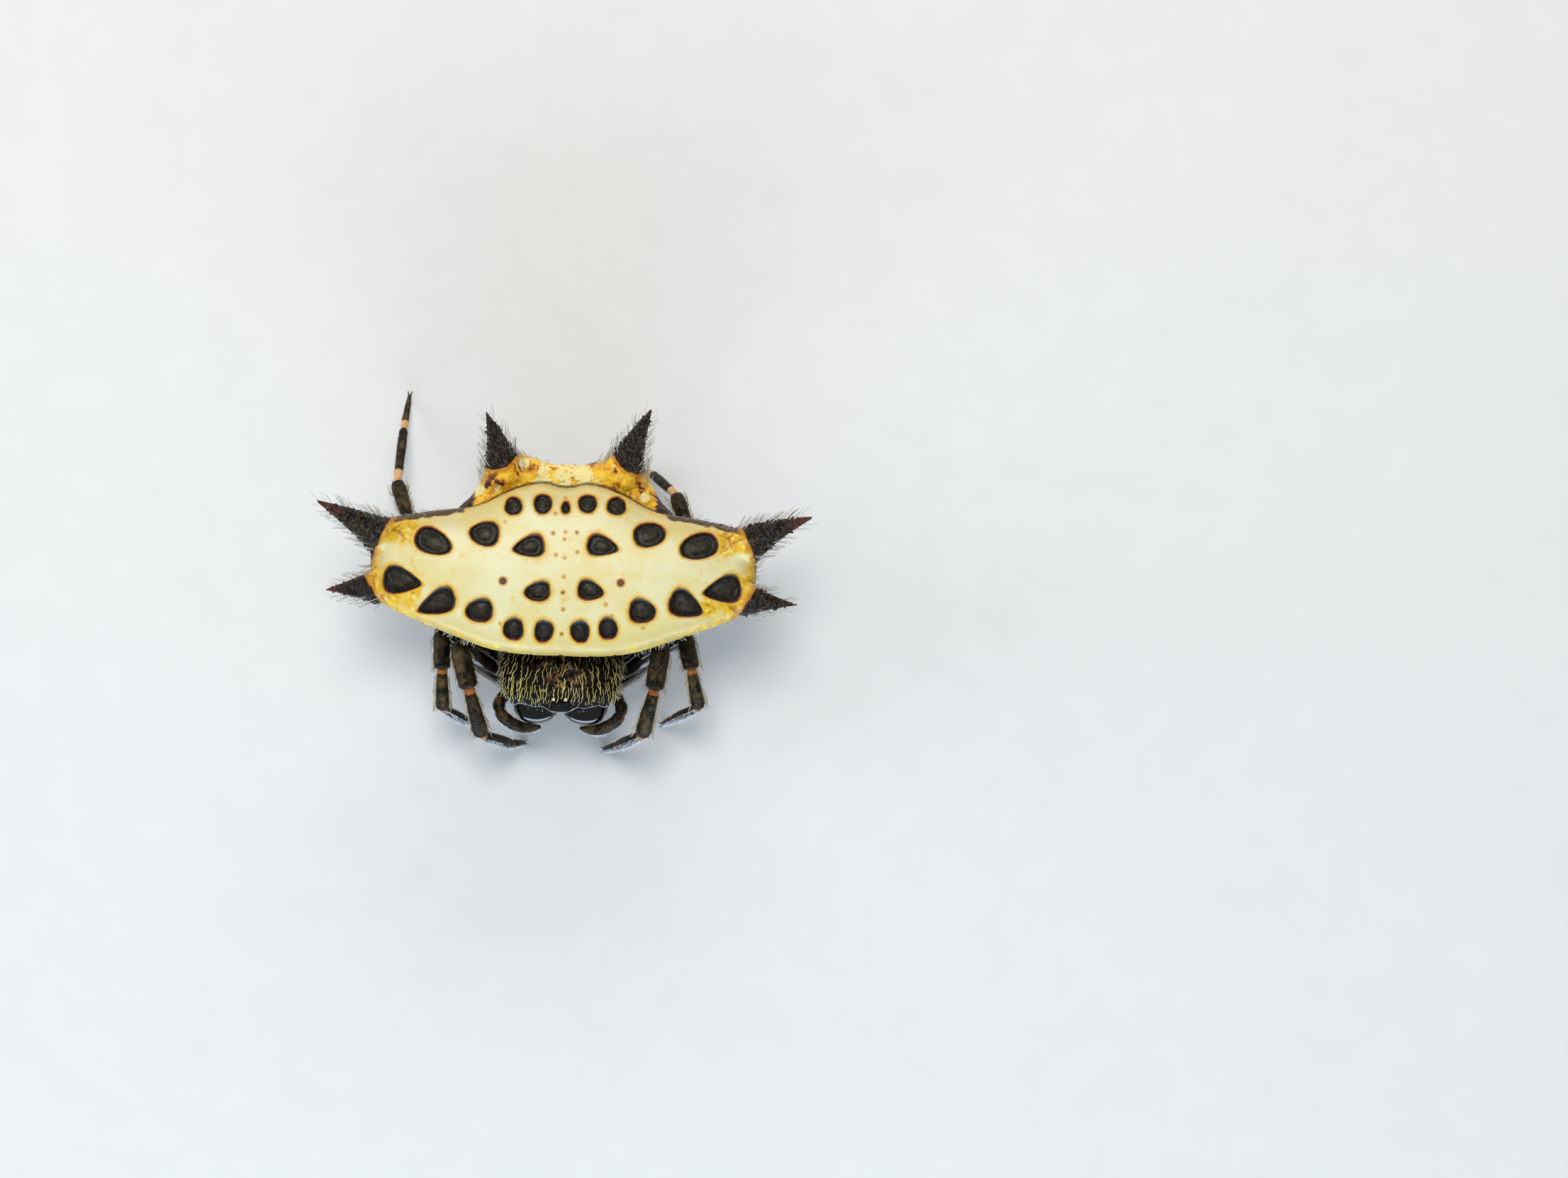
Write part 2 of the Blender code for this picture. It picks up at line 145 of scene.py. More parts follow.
def asDistance(shape, points, reach=0.01, least=0.4):
    # A shape's value over its slope, which is close to a distance near its surface
    value = shape(points)
    steepness = np.zeros(len(points), np.float32)
    for axis in range(3):
        moved = points.copy()
        moved[:, axis] += reach
        steepness += ((shape(moved) - value) / reach) ** 2
    return value / np.maximum(np.sqrt(steepness), least)


def mirrored(points):
    # The right side's points folded onto the left side
    folded = points.copy()
    folded[:, 0] = np.abs(folded[:, 0])
    return folded


def slopeOf(field, points, reach=0.004):
    slope = np.empty_like(points)
    for axis in range(3):
        ahead, behind = points.copy(), points.copy()
        ahead[:, axis] += reach
        behind[:, axis] -= reach
        slope[:, axis] = (field(ahead) - field(behind)) / (2 * reach)
    return slope


def fieldValues(field, axes):
    values = np.empty([len(axis) for axis in axes], np.float32)
    level = np.stack(np.meshgrid(axes[1], axes[2], indexing="ij"), -1)
    for start in range(0, len(axes[0]), 12):
        slab = axes[0][start:start + 12]
        points = np.empty((len(slab), *level.shape[:2], 3), np.float32)
        points[..., 0] = slab[:, None, None]
        points[..., 1:] = level
        values[start:start + 12] = field(points.reshape(-1, 3)).reshape(points.shape[:3])
    return values


def growSkin(field, low, high, step, rounds=3):
    axes = [np.arange(start, end + step, step, dtype=np.float32) for start, end in zip(low, high)]
    values = fieldValues(field, axes)
    inside = values < 0
    cornersOf = [np.array([index & 1, index >> 1 & 1, index >> 2 & 1]) for index in range(8)]
    shape = np.array(values.shape)

    def cornerView(array, corner):
        return array[tuple(slice(offset, size - 1 + offset) for offset, size in zip(corner, shape))]

    filled = sum(cornerView(inside, corner).astype(np.int8) for corner in cornersOf)
    active = (filled > 0) & (filled < 8)
    index = np.full(active.shape, -1, np.int64)
    index[active] = np.arange(active.sum())
    cells = np.argwhere(active)
    total, hits = np.zeros((len(cells), 3)), np.zeros(len(cells))
    for first in cornersOf:
        for axis in range(3):
            if first[axis]:
                continue
            second = first.copy()
            second[axis] = 1
            here = values[tuple((cells + first).T)]
            there = values[tuple((cells + second).T)]
            crossed = (here < 0) != (there < 0)
            share = np.where(crossed, here / np.where(crossed, here - there, 1), 0)
            total += np.where(crossed[:, None], first + (second - first) * share[:, None], 0)
            hits += crossed
    points = np.array([axis[0] for axis in axes]) + (cells + total / hits[:, None]) * step
    quads = []
    for axis in range(3):
        across, along = (axis + 1) % 3, (axis + 2) % 3
        near = tuple(slice(0, -1) if other == axis else slice(None) for other in range(3))
        far = tuple(slice(1, None) if other == axis else slice(None) for other in range(3))
        changed = inside[near] != inside[far]
        places = np.argwhere(changed)
        back, left = np.eye(3, dtype=int)[across], np.eye(3, dtype=int)[along]
        shifts = (0 * back, back, back + left, left)
        quad = np.stack([index[tuple((places - shift).T)] for shift in shifts], 1)
        outward = inside[tuple(places.T)]
        quad[~outward] = quad[~outward][:, ::-1]
        quads.append(quad)
    points = points.astype(np.float64)
    for _ in range(rounds):
        value = field(points)
        slope = slopeOf(field, points)
        move = value / np.maximum((slope ** 2).sum(1), 0.05)
        points -= slope * np.clip(move, -step, step)[:, None]
    return points, np.concatenate(quads)


# Round rods and rings

def crossFrame(axes):
    # Two directions square to each axis, carried along the line without a twist
    axes = unit(axes)
    start = np.array([0, 0, 1.0]) if abs(axes[0][2]) < 0.9 else np.array([0, 1.0, 0])
    across = [unit(np.cross(axes[0], start))]
    for axis in axes[1:]:
        carried = across[-1] - axis * (across[-1] @ axis)
        across.append(unit(carried))
    across = np.array(across)
    return across, np.cross(across, axes)


def rodPoints(line, radii, sides):
    # A closed rod along the line, with a point at each end: its points and faces, and for each point its
    # share along the line, its angle and its normal
    line, radii = np.asarray(line, float), np.asarray(radii, float)
    axes = np.gradient(line, axis=0)
    across, up = crossFrame(axes)
    turns = np.arange(sides) * 2 * math.pi / sides
    ring = across[:, None] * np.cos(turns)[:, None] + up[:, None] * np.sin(turns)[:, None]
    points = (line[:, None] + ring * radii[:, None, None]).reshape(-1, 3)
    count = len(line)
    low = np.arange(sides)
    quads = []
    for level in range(count - 1):
        first = level * sides + low
        second = level * sides + (low + 1) % sides
        quads.append(np.stack([first, second, second + sides, first + sides], 1))
    points = np.concatenate([points, line[:1], line[-1:]])
    startFan = np.stack([(low + 1) % sides, low, np.full(sides, count * sides)], 1)
    last = (count - 1) * sides
    endFan = np.stack([last + low, last + (low + 1) % sides, np.full(sides, count * sides + 1)], 1)
    share = np.concatenate([np.repeat(np.linspace(0, 1, count), sides), [0, 1]])
    angle = np.concatenate([np.tile(turns, count), [0, 0]])
    quads = np.concatenate(quads)
    normals = unit(np.concatenate([ring.reshape(-1, 3), -axes[:1], axes[-1:]]))
    return points, [quads, np.concatenate([startFan, endFan])], share, angle, normals


def pointsAlong(corners, count):
    # A smooth line through the corners, with points at even shares between its ends
    corners = np.asarray(corners, float)
    lengths = np.concatenate([[0], np.cumsum(np.linalg.norm(np.diff(corners, axis=0), axis=1))])
    lines = [smoothLine(list(zip(lengths, corners[:, axis]))) for axis in range(corners.shape[1])]
    wanted = np.linspace(0, lengths[-1], count)
    return np.stack([lookUp(line, wanted) for line in lines], 1)


def joinShapes(shapes):
    # Several (points, faces, paint) shapes as one
    points, quads, triangles, paint, start = [], [], [], {}, 0
    for shapePoints, shapeFaces, shapePaint in shapes:
        points.append(shapePoints)
        for group in shapeFaces:
            (quads if group.shape[1] == 4 else triangles).append(group + start)
        for key, values in shapePaint.items():
            paint.setdefault(key, []).append(np.broadcast_to(values, len(shapePoints)))
        start += len(shapePoints)
    faces = [np.concatenate(group) for group in (quads, triangles) if group]
    return np.concatenate(points), faces, {key: np.concatenate(values) for key, values in paint.items()}


# Nodes

class Wire:
    # A socket that takes part in sums

    def __init__(self, nodes, socket):
        self.nodes = nodes
        self.socket = socket

    def sum(self, operation, first, second=0.0):
        return self.nodes.node("ShaderNodeMath", {"operation": operation}, {0: first, 1: second})

    def __add__(self, other):
        return self.sum("ADD", self, other)

    def __sub__(self, other):
        return self.sum("SUBTRACT", self, other)

    def __rsub__(self, other):
        return self.sum("SUBTRACT", other, self)

    def __mul__(self, other):
        return self.sum("MULTIPLY", self, other)

    def __pow__(self, other):
        return self.sum("POWER", self, other)

    __radd__ = __add__
    __rmul__ = __mul__

    def most(self, other):
        return self.sum("MAXIMUM", self, other)

    def wave(self):
        return self.sum("SINE", self)

    def between(self, low, high):
        # 0 at low and 1 at high, eased, where low may be the greater
        sockets = {0: self, 1: low, 2: high, 3: 0.0, 4: 1.0}
        return self.nodes.node("ShaderNodeMapRange", {"interpolation_type": "SMOOTHSTEP"}, sockets)


class NodeTree:
    # Makes nodes and feeds their sockets, in a material or in Geometry Nodes

    def __init__(self, tree):
        self.tree = tree

    def node(self, kind, settings=None, sockets=None, out=0):
        made = self.tree.nodes.new(kind)
        for key, value in (settings or {}).items():
            setattr(made, key, value)
        for key, value in (sockets or {}).items():
            self.feed(made.inputs[key], value)
        return Wire(self, made.outputs[out])

    def feed(self, socket, value):
        if isinstance(value, Wire):
            self.tree.links.new(value.socket, socket)
        elif isinstance(value, tuple) and len(value) == 3 and len(socket.default_value) == 4:
            socket.default_value = (*value, 1.0)
        else:
            socket.default_value = value


class Shader(NodeTree):
    # One material, whose position is the object's own, in millimetres

    def __init__(self, name, **constants):
        self.material = bpy.data.materials.new(name)
        self.material.use_nodes = True
        super().__init__(self.material.node_tree)
        self.surface = self.tree.nodes["Principled BSDF"]
        place = self.node("ShaderNodeTexCoord", out="Object")
        self.place = self.node("ShaderNodeVectorMath", {"operation": "SCALE"}, {0: place, "Scale": 1000.0})
        for key, value in constants.items():
            self.surface.inputs[key.replace("_", " ")].default_value = value

    def paint(self, name):
        return self.node("ShaderNodeAttribute", {"attribute_name": name}, out="Fac")

    def noise(self, scale, detail=3.0, roughness=0.55, distortion=0.0):
        sockets = {"Scale": scale, "Detail": detail, "Roughness": roughness, "Distortion": distortion}
        return self.node("ShaderNodeTexNoise", {}, {"Vector": self.place, **sockets}, "Fac")

    def cells(self, scale, feature="F1"):
        sockets = {"Vector": self.place, "Scale": scale}
        return self.node("ShaderNodeTexVoronoi", {"feature": feature}, sockets, "Distance")

    def mix(self, first, second, share):
        return self.node("ShaderNodeMix", {"data_type": "RGBA"}, {0: share, 6: first, 7: second}, 2)

    def layers(self, ground, *coats):
        # Coats of (colour, share) laid over the ground one after another
        for colour, share in coats:
            ground = self.mix(ground, colour, share)
        return ground

    def bump(self, height, distance, strength=1.0, under=None):
        sockets = {"Height": height, "Distance": distance * mm, "Strength": strength}
        if under:
            sockets["Normal"] = under
        return self.node("ShaderNodeBump", {}, sockets)

    def finish(self, colour, roughness=None, normal=None, coat=None):
        fed = {"Base Color": colour, "Roughness": roughness, "Normal": normal, "Coat Weight": coat}
        for key, value in fed.items():
            if value is not None:
                self.feed(self.surface.inputs[key], value)
        return self.material


# Hair: strands on root points, joined by Geometry Nodes to one mesh

def buildStrandTree():
    tree = bpy.data.node_groups.new("strandsOnRoots", "GeometryNodeTree")
    inputs = {
        "Geometry": "Geometry", "Thickness": "Float", "Bend": "Float", "Wave": "Float", "Points along": "Int",
        "Sides": "Int", "Material": "Material",
    }
    for name, kind in inputs.items():
        tree.interface.new_socket(name, in_out="INPUT", socket_type="NodeSocket" + kind)
    tree.interface.new_socket("Geometry", in_out="OUTPUT", socket_type="NodeSocketGeometry")
    nodes = NodeTree(tree)
    given = {name: nodes.node("NodeGroupInput", out=name) for name in inputs}

    def attribute(name, kind="FLOAT"):
        return nodes.node("GeometryNodeInputNamedAttribute", {"data_type": kind}, {"Name": name}, "Attribute")

    def stored(geometry, name, value, kind="FLOAT", domain="POINT"):
        sockets = {"Geometry": geometry, "Name": name, "Value": value}
        return nodes.node("GeometryNodeStoreNamedAttribute", {"data_type": kind, "domain": domain}, sockets)

    # A strand of unit length along Z, which bows towards X and waves
    line = nodes.node("GeometryNodeCurvePrimitiveLine", {}, {"Start": (0, 0, 0), "End": (0, 0, 1)})
    line = nodes.node("GeometryNodeResampleCurve", {}, {"Curve": line, "Count": given["Points along"]})
    share = nodes.node("GeometryNodeSplineParameter", out="Factor")
    ripple = (share * 11.0).wave() * given["Wave"] * share
    offset = nodes.node("ShaderNodeCombineXYZ", {}, {"X": share ** 2.0 * given["Bend"], "Y": ripple})
    line = nodes.node("GeometryNodeSetPosition", {}, {"Geometry": line, "Offset": offset})
    taper = 1.0 - share ** 1.6 * 0.9
    line = nodes.node("GeometryNodeSetCurveRadius", {}, {"Curve": line, "Radius": taper})
    line = stored(line, "alongStrand", share)
    sockets = {"Resolution": given["Sides"], "Radius": given["Thickness"]}
    ring = stored(nodes.node("GeometryNodeCurvePrimitiveCircle", {}, sockets), "aroundStrand", share)
    sockets = {"Curve": line, "Profile Curve": ring, "Fill Caps": True}
    strand = nodes.node("GeometryNodeCurveToMesh", {}, sockets)

    # Each strand stands on its root, along its lie, and bows towards the skin
    sockets = {"Vector": attribute("hairLie", "FLOAT_VECTOR")}
    turn = nodes.node("FunctionNodeAlignRotationToVector", {"axis": "Z"}, sockets)
    sockets = {"Rotation": turn, "Vector": attribute("hairBow", "FLOAT_VECTOR")}
    turn = nodes.node("FunctionNodeAlignRotationToVector", {"axis": "X", "pivot_axis": "Z"}, sockets)
    length = attribute("hairLength")
    sockets = {"Points": given["Geometry"], "Instance": strand, "Rotation": turn, "Scale": length}
    joined = nodes.node("GeometryNodeInstanceOnPoints", {}, sockets)
    joined = nodes.node("GeometryNodeRealizeInstances", {}, {"Geometry": joined})

    # Each strand has a small patch of its own, at its root's place on the unwrapped skin
    patch = 0.003
    sockets = {"X": attribute("alongStrand") * patch, "Y": attribute("aroundStrand") * patch}
    small = nodes.node("ShaderNodeCombineXYZ", {}, sockets)
    sockets = {0: attribute("rootSpot", "FLOAT_VECTOR"), 1: small}
    spot = nodes.node("ShaderNodeVectorMath", {"operation": "ADD"}, sockets)
    joined = stored(joined, "OFBake", spot, "FLOAT2", "CORNER")
    joined = nodes.node("GeometryNodeSetMaterial", {}, {"Geometry": joined, "Material": given["Material"]})
    tree.links.new(joined.socket, tree.nodes.new("NodeGroupOutput").inputs[0])
    return tree


strandTree = buildStrandTree()


def growHair(name, roots, material, thickness, bend=0.25, wave=0.0, along=4, sides=3):
    # roots holds what hairRoots() gives
    count = len(roots["points"])
    mesh = bpy.data.meshes.new(name + "Roots")
    mesh.vertices.add(count)
    mesh.vertices.foreach_set("co", toScene(roots["points"]).astype(np.float32).ravel())
    spots = np.zeros((count, 3))
    spots[:, :2] = 0.002 + roots["spots"] * 0.993
    vectors = {"hairLie": roots["lie"], "hairBow": roots["bow"], "rootSpot": spots}
    for key, values in vectors.items():
        attribute = mesh.attributes.new(key, "FLOAT_VECTOR", "POINT")
        attribute.data.foreach_set("vector", np.asarray(values, np.float32).ravel())
    addPaint(mesh, {"hairLength": roots["lengths"] * mm, "hairTone": roots["tones"]})
    holder = linkedObject(name + "Roots", mesh)
    step = holder.modifiers.new("strands", "NODES")
    step.node_group = strandTree
    wanted = {
        "Thickness": thickness / float(np.mean(roots["lengths"])), "Bend": bend, "Wave": wave,
        "Points along": along, "Sides": sides, "Material": material,
    }
    for item in strandTree.interface.items_tree:
        if item.item_type == "SOCKET" and item.in_out == "INPUT" and item.name in wanted:
            step[item.identifier] = wanted[item.name]
    graph = bpy.context.evaluated_depsgraph_get()
    result = bpy.data.meshes.new_from_object(holder.evaluated_get(graph), depsgraph=graph)
    holder.modifiers.clear()
    bpy.data.objects.remove(holder, do_unlink=True)
    result.name = name
    result.shade_smooth()
    triangles = sum(len(face.vertices) - 2 for face in result.polygons)
    print(f"  {name}: {count} strands, {triangles} triangles")
    return finishPiece(name, result, material)


def drawn(value, count, draw):
    # A (low, high) pair is drawn for each strand, and anything else stays as it is
    if isinstance(value, tuple):
        return value[0] + (value[1] - value[0]) * draw.random(count)
    return value


def hairRoots(points, normals, lie, lift, lengths, spots, draw):
    # lie is the combing direction, lift the angle at which a strand leaves the skin, and spots its place on
    # an unwrap of the skin. The lifts, the lengths and the tones are drawn in this order
    count = len(points)
    normals = unit(normals)
    flat = unit(lie - normals * (lie * normals).sum(1, keepdims=True))
    lift = np.broadcast_to(drawn(lift, count, draw), count)[:, None]
    return {
        "points": points - normals * 0.02, "lie": unit(flat * np.cos(lift) + normals * np.sin(lift)),
        "bow": unit(flat * np.sin(lift) - normals * np.cos(lift)), "lengths": drawn(lengths, count, draw),
        "tones": draw.random(count), "spots": spots,
    }


def mergeRoots(groups):
    return {key: np.concatenate([group[key] for group in groups]) for key in groups[0]}


def thinOut(points, across, along):
    # Which places stay when each keeps others away by a width across and a length along the body
    kept = []
    for index, point in enumerate(points):
        offset = (points[kept] - point)[:, :2] / (across, along)
        if not len(kept) or (offset ** 2).sum(1).min() > 1:
            kept.append(index)
    return np.array(kept)


def scatter(points, quads, density, draw):
    # Random places on the skin, as many for each square millimetre as density says, and the normals there
    first, second, third, fourth = (points[quads[:, corner]] for corner in range(4))
    normals = np.cross(third - first, fourth - second) / 2
    weights = np.linalg.norm(normals, axis=1) * density[quads].mean(1)
    count = int(round(weights.sum()))
    chosen = draw.choice(len(quads), count, p=weights / weights.sum())
    across, along = draw.random((2, count, 1))
    low = first[chosen] * (1 - across) + second[chosen] * across
    high = fourth[chosen] * (1 - across) + third[chosen] * across
    return low * (1 - along) + high * along, unit(normals[chosen])


def roundSpots(points, middle, stretch):
    # Places on an unwrap by bearing and height round a middle point
    offset = (points - np.array(middle)) / np.array(stretch)
    bearing = np.arctan2(offset[:, 1], offset[:, 0]) / (2 * math.pi) + 0.5
    height = np.arctan2(offset[:, 2], np.hypot(offset[:, 0], offset[:, 1])) / math.pi + 0.5
    return np.stack([bearing, height], 1)


# Materials

def makeFloorMaterial():
    shader = Shader("floorPaper", Roughness=0.85)
    return shader.finish(shader.mix((0.80, 0.80, 0.78), (0.86, 0.86, 0.84), shader.noise(0.8, 4.0)))


shieldPaints = {
    "cream": ((0.775, 0.67, 0.285), (0.80, 0.75, 0.435)),
    "rimBands": ((0.64, 0.50, 0.165), (0.52, 0.36, 0.09)),
    "stain": ((0.76, 0.46, 0.018), (0.86, 0.69, 0.16)),
    "deepStain": (0.46, 0.19, 0.012), "crack": (0.32, 0.11, 0.009),
    "halo": (0.76, 0.43, 0.022), "spotLine": ((0.055, 0.028, 0.012), (0.20, 0.022, 0.008)),
    "dotRim": (0.66, 0.36, 0.05), "dot": (0.10, 0.022, 0.008),
    # The crease under the rear rim gets a dark line with painted shade
    "creaseLineAndShade": (0.050, 0.020, 0.008), "rearEdge": (0.045, 0.017, 0.007),
    "slope": ((0.98, 0.62, 0.034), (0.84, 0.37, 0.014)), "slopeMottle": (0.16, 0.040, 0.005),
    "blotch": (0.92, 0.80, 0.33), "flank": (0.035, 0.014, 0.007),
    "belly": ((0.016, 0.011, 0.008), (0.05, 0.028, 0.012)), "bellySpots": (0.62, 0.42, 0.10),
    "pit": ((0.010, 0.005, 0.003), (0.070, 0.044, 0.024)), "pitRing": (0.005, 0.003, 0.002),
    "greyPit": ((0.022, 0.020, 0.010), (0.105, 0.098, 0.050)),
    "spine": ((0.008, 0.005, 0.003), (0.075, 0.045, 0.020)), "spineFoot": (0.56, 0.22, 0.012),
    "redTip": (0.120, 0.026, 0.014),
}


def creamPaint(shader, fine, cloud):
    # The shield's ground, with rim bands, stains, cracks and dots, the edges of the spots, the rear edge
    # and a dark line with painted shade in the crease under the rear rim
    paints, stain, spot = shieldPaints, shader.paint("stain"), shader.paint("spot")
    rim = shader.paint("rim") + (cloud - 0.5) * 0.3
    stainPaint = shader.mix(*paints["stain"], shader.noise(5.5, 3.0).between(0.52, 0.64))
    crack = (shader.cells(2.6, "DISTANCE_TO_EDGE") + (fine - 0.5) * 0.34).between(0.12, 0.0)
    dot = shader.paint("dot") + (fine - 0.5) * 0.02 - 0.01
    spotLine = shader.mix(*paints["spotLine"], shader.paint("away").between(0.55, 0.9))
    return shader.layers(
        shader.mix(*paints["cream"], shader.noise(0.9, 3.0).between(0.35, 0.62)),
        (paints["rimBands"][0], rim.between(0.66, 0.08) * 0.85),
        (paints["rimBands"][1], rim.between(0.20, -0.02) * 0.8),
        (stainPaint, (stain + (cloud - 0.5) * 1.5).between(0.08, 0.48)),
        (paints["crack"], crack * (stain + (cloud - 0.5) * 2.0).between(0.35, 0.85) * 0.9),
        (paints["deepStain"], (stain + (cloud - 0.5) * 3.0).between(0.90, 1.30) * 0.85),
        (paints["halo"], (spot + (fine - 0.5) * 0.10 - 0.02).between(0.13, 0.0)),
        (paints["dotRim"], dot.between(0.06, 0.0)),
        (paints["dot"], dot.between(0.006, -0.02)),
        (spotLine, (spot + (fine - 0.5) * 0.05).between(0.055, 0.005)),
        # A dark line along the crease under the rear rim, with painted shade there
        (paints["creaseLineAndShade"], (shader.paint("creaseLineAndShade") + (fine - 0.5) * 0.9).between(0.15, 0.5)),
        (paints["rearEdge"], (shader.paint("rearEdge") + (cloud - 0.5) * 1.6).between(0.32, 0.66) * 0.95),
    )


def slopePaint(shader, mottle):
    paints = shieldPaints
    blotch = (shader.paint("blotch") + (shader.noise(3.6, 4.0, 0.6) - 0.5) * 3.4).between(0.38, 0.60)
    flank = (shader.paint("flank") + (mottle - 0.5) * 2.8).between(0.26, 0.52)
    return shader.layers(
        shader.mix(*paints["slope"], mottle.between(0.43, 0.52)),
        (paints["slopeMottle"], mottle.between(0.535, 0.60)),
        (paints["blotch"], blotch),
        (paints["flank"], flank * (1 - blotch)),
    )


def pitPaint(shader, pitGrain, ripple, ring):
    # The floor of a spot, with its fine rings and dark wall
    paints = shieldPaints
    return shader.layers(
        shader.mix(*paints["pit"], pitGrain),
        (shader.mix(*paints["greyPit"], pitGrain), shader.paint("grey")),
        (paints["pitRing"], ripple.between(0.0, 0.9).most(ring.between(0.74, 0.88)) * 0.85),
    )


def spinePaint(shader):
    redTip = shader.paint("red") + (shader.noise(5.0, 4.0, 0.65) - 0.5) * 1.1
    ground = shader.mix(*shieldPaints["spine"], shader.noise(9.0, 4.0).between(0.45, 0.7))
    return shader.mix(ground, shieldPaints["redTip"], redTip.between(0.25, 0.95) * 0.85)


def makeShieldMaterial():
    # Cream cuticle with sunken dark spots, orange stains, a mottled slope and near-black spines
    shader = Shader("shieldCuticle", IOR=1.5, Specular_IOR_Level=0.32, Coat_Roughness=0.2)
    spine, under, slope = shader.paint("spine"), shader.paint("under"), shader.paint("slope")
    fine, cloud = shader.noise(7.0, 4.0), shader.noise(3.2, 5.0, 0.62)
    mottle = shader.noise(2.6, 5.0, 0.6, distortion=0.8)
    belly = shader.mix(*shieldPaints["belly"], mottle)
    bellySpots = shader.noise(1.15, 2.0).between(0.60, 0.66) * shader.paint("bellyBand")
    belly = shader.mix(belly, shieldPaints["bellySpots"], bellySpots)
    inside, ring = shader.paint("spot").between(0.0, -0.02), shader.paint("ring")
    pitGrain = shader.noise(9.0, 5.0, 0.7).between(0.3, 0.75)
    ripple = (ring * 36.0 + shader.noise(4.0) * 5.0).wave() * ring.between(0.30, 0.60)
    spineNear = (spine + (fine - 0.5) * 0.12).between(-0.01, 0.04)
    colour = shader.layers(
        creamPaint(shader, fine, cloud),
        (slopePaint(shader, mottle), slope),
        (belly, (under + (fine - 0.5) * 0.4).between(0.35, 0.6)),
        (pitPaint(shader, pitGrain, ripple, ring), inside),
        (shieldPaints["spineFoot"], (spine + (cloud - 0.5) * 0.3).between(-0.16, -0.03) * 0.85),
        (spinePaint(shader), spineNear),
    )
    grain = shader.cells(9.0) * spineNear.most(slope * 0.12).most(under * 0.6)
    grain = grain + shader.noise(3.2, 3.0) * slope * 0.9
    normal = shader.bump(shader.noise(28.0, 3.0) * 0.10 + shader.noise(2.2, 2.0) * 0.5, 0.05, 0.35)
    normal = shader.bump(grain, 0.13, 1.0, normal)
    normal = shader.bump(ripple * inside, 0.045, 1.0, normal)
    normal = shader.bump(pitGrain * inside, 0.05, 1.0, normal)
    dull = spineNear.most(slope).most(under)
    roughness = (dull * 0.08 + 0.36) * (1 - inside) + inside * 0.20
    return shader.finish(colour, roughness, normal, coat=(1 - dull) * 0.12)


def makeCuticle(name, first, second, roughness, grainScale=12.0, depth=0.003, shine=0.0):
    shader = Shader(name, IOR=1.5, Coat_Weight=shine, Coat_Roughness=0.04)
    colour = shader.mix(first, second, shader.noise(2.6, 5.0, 0.6).between(0.42, 0.7))
    rough = shader.noise(6.0, 3.0) * roughness * 0.6 + roughness * 0.7
    grain = shader.noise(grainScale, 3.0) * 0.6 + shader.cells(grainScale * 0.8) * 0.4
    return shader.finish(colour, rough, shader.bump(grain, depth, 0.6))


def makeCarapaceMaterial():
    # Black, with warm brown bosses in the middle and a smooth front edge
    shader = Shader("carapaceCuticle", IOR=1.5, Specular_IOR_Level=0.07)
    edge, broad = shader.paint("edge"), shader.noise(3.0, 5.0, 0.6)
    colour = shader.layers(
        shader.mix((0.004, 0.003, 0.002), (0.035, 0.019, 0.008), broad.between(0.5, 0.8)),
        ((0.19, 0.095, 0.050), shader.paint("boss") * shader.noise(7.0, 3.0).between(0.50, 0.60) * 0.8),
        ((0.002, 0.002, 0.002), edge),
    )
    rough = shader.noise(6.0, 3.0) * 0.2 + 0.34
    grain = (shader.noise(22.0, 3.0) * 0.6 + shader.cells(9.0) * 0.6) * (1 - edge)
    return shader.finish(colour, rough, shader.bump(grain, 0.045, 0.7))


legPaints = {
    # top is a lighter brown painted on the upper sides as a painted sheen
    "ground": ((0.004, 0.003, 0.001), (0.070, 0.036, 0.010)), "top": (0.115, 0.074, 0.026),
    "palpPatch": (0.14, 0.048, 0.016), "knee": (0.045, 0.038, 0.008), "ring": (0.38, 0.125, 0.026),
    "rearRing": (0.72, 0.42, 0.20), "polished": (0.003, 0.002, 0.002),
}


def makeLegMaterial():
    # Black-brown rods with orange rings, olive knees and polished first segments, and lighter brown along
    # their tops as a painted sheen
    shader = Shader("legCuticle", IOR=1.45, Specular_IOR_Level=0.16, Coat_Roughness=0.08)
    polish, fine, streak = shader.paint("polish"), shader.noise(8.0, 4.0), shader.noise(3.4, 5.0, 0.65)
    colour = shader.layers(
        shader.mix(*legPaints["ground"], streak.between(0.48, 0.78)),
        # The lighter brown on the upper sides is a painted sheen
        (legPaints["top"], shader.paint("top") * streak.between(0.40, 0.64) * 0.85),
        (legPaints["palpPatch"], (shader.paint("patch") + (streak - 0.5) * 3.2).between(0.75, 1.25)),
        (legPaints["knee"], shader.paint("olive") * fine.between(0.3, 0.7)),
        (legPaints["ring"], (shader.paint("pale") + (streak - 0.5) * 1.6).between(0.40, 1.05)),
        (legPaints["rearRing"], (shader.paint("peach") + (fine - 0.5) * 0.5).between(0.35, 0.75)),
        (legPaints["polished"], polish * 0.85),
    )
    rough = (fine * 0.25 + 0.22) * (1 - polish * 0.5)
    grain = (shader.noise(30.0, 3.0) * 0.6 + shader.cells(16.0) * 0.4) * (1 - polish * 0.8)
    return shader.finish(colour, rough, shader.bump(grain, 0.03, 0.5), polish)


def makeHairMaterial(name, first, second):
    shader = Shader(name, IOR=1.5, Roughness=0.4)
    return shader.finish(shader.mix(first, second, shader.paint("hairTone")))


def makeEyeMaterial(name, colour, glint):
    shader = Shader(name, IOR=1.5, Roughness=0.06, Coat_Weight=1.0, Coat_Roughness=0.02)
    # The glint is a painted highlight on the lens, laid over its dark colour
    glow = shader.paint("glow") * shader.noise(9.0, 2.0).between(0.0, 0.5)
    return shader.finish(shader.mix(colour, glint, glow))


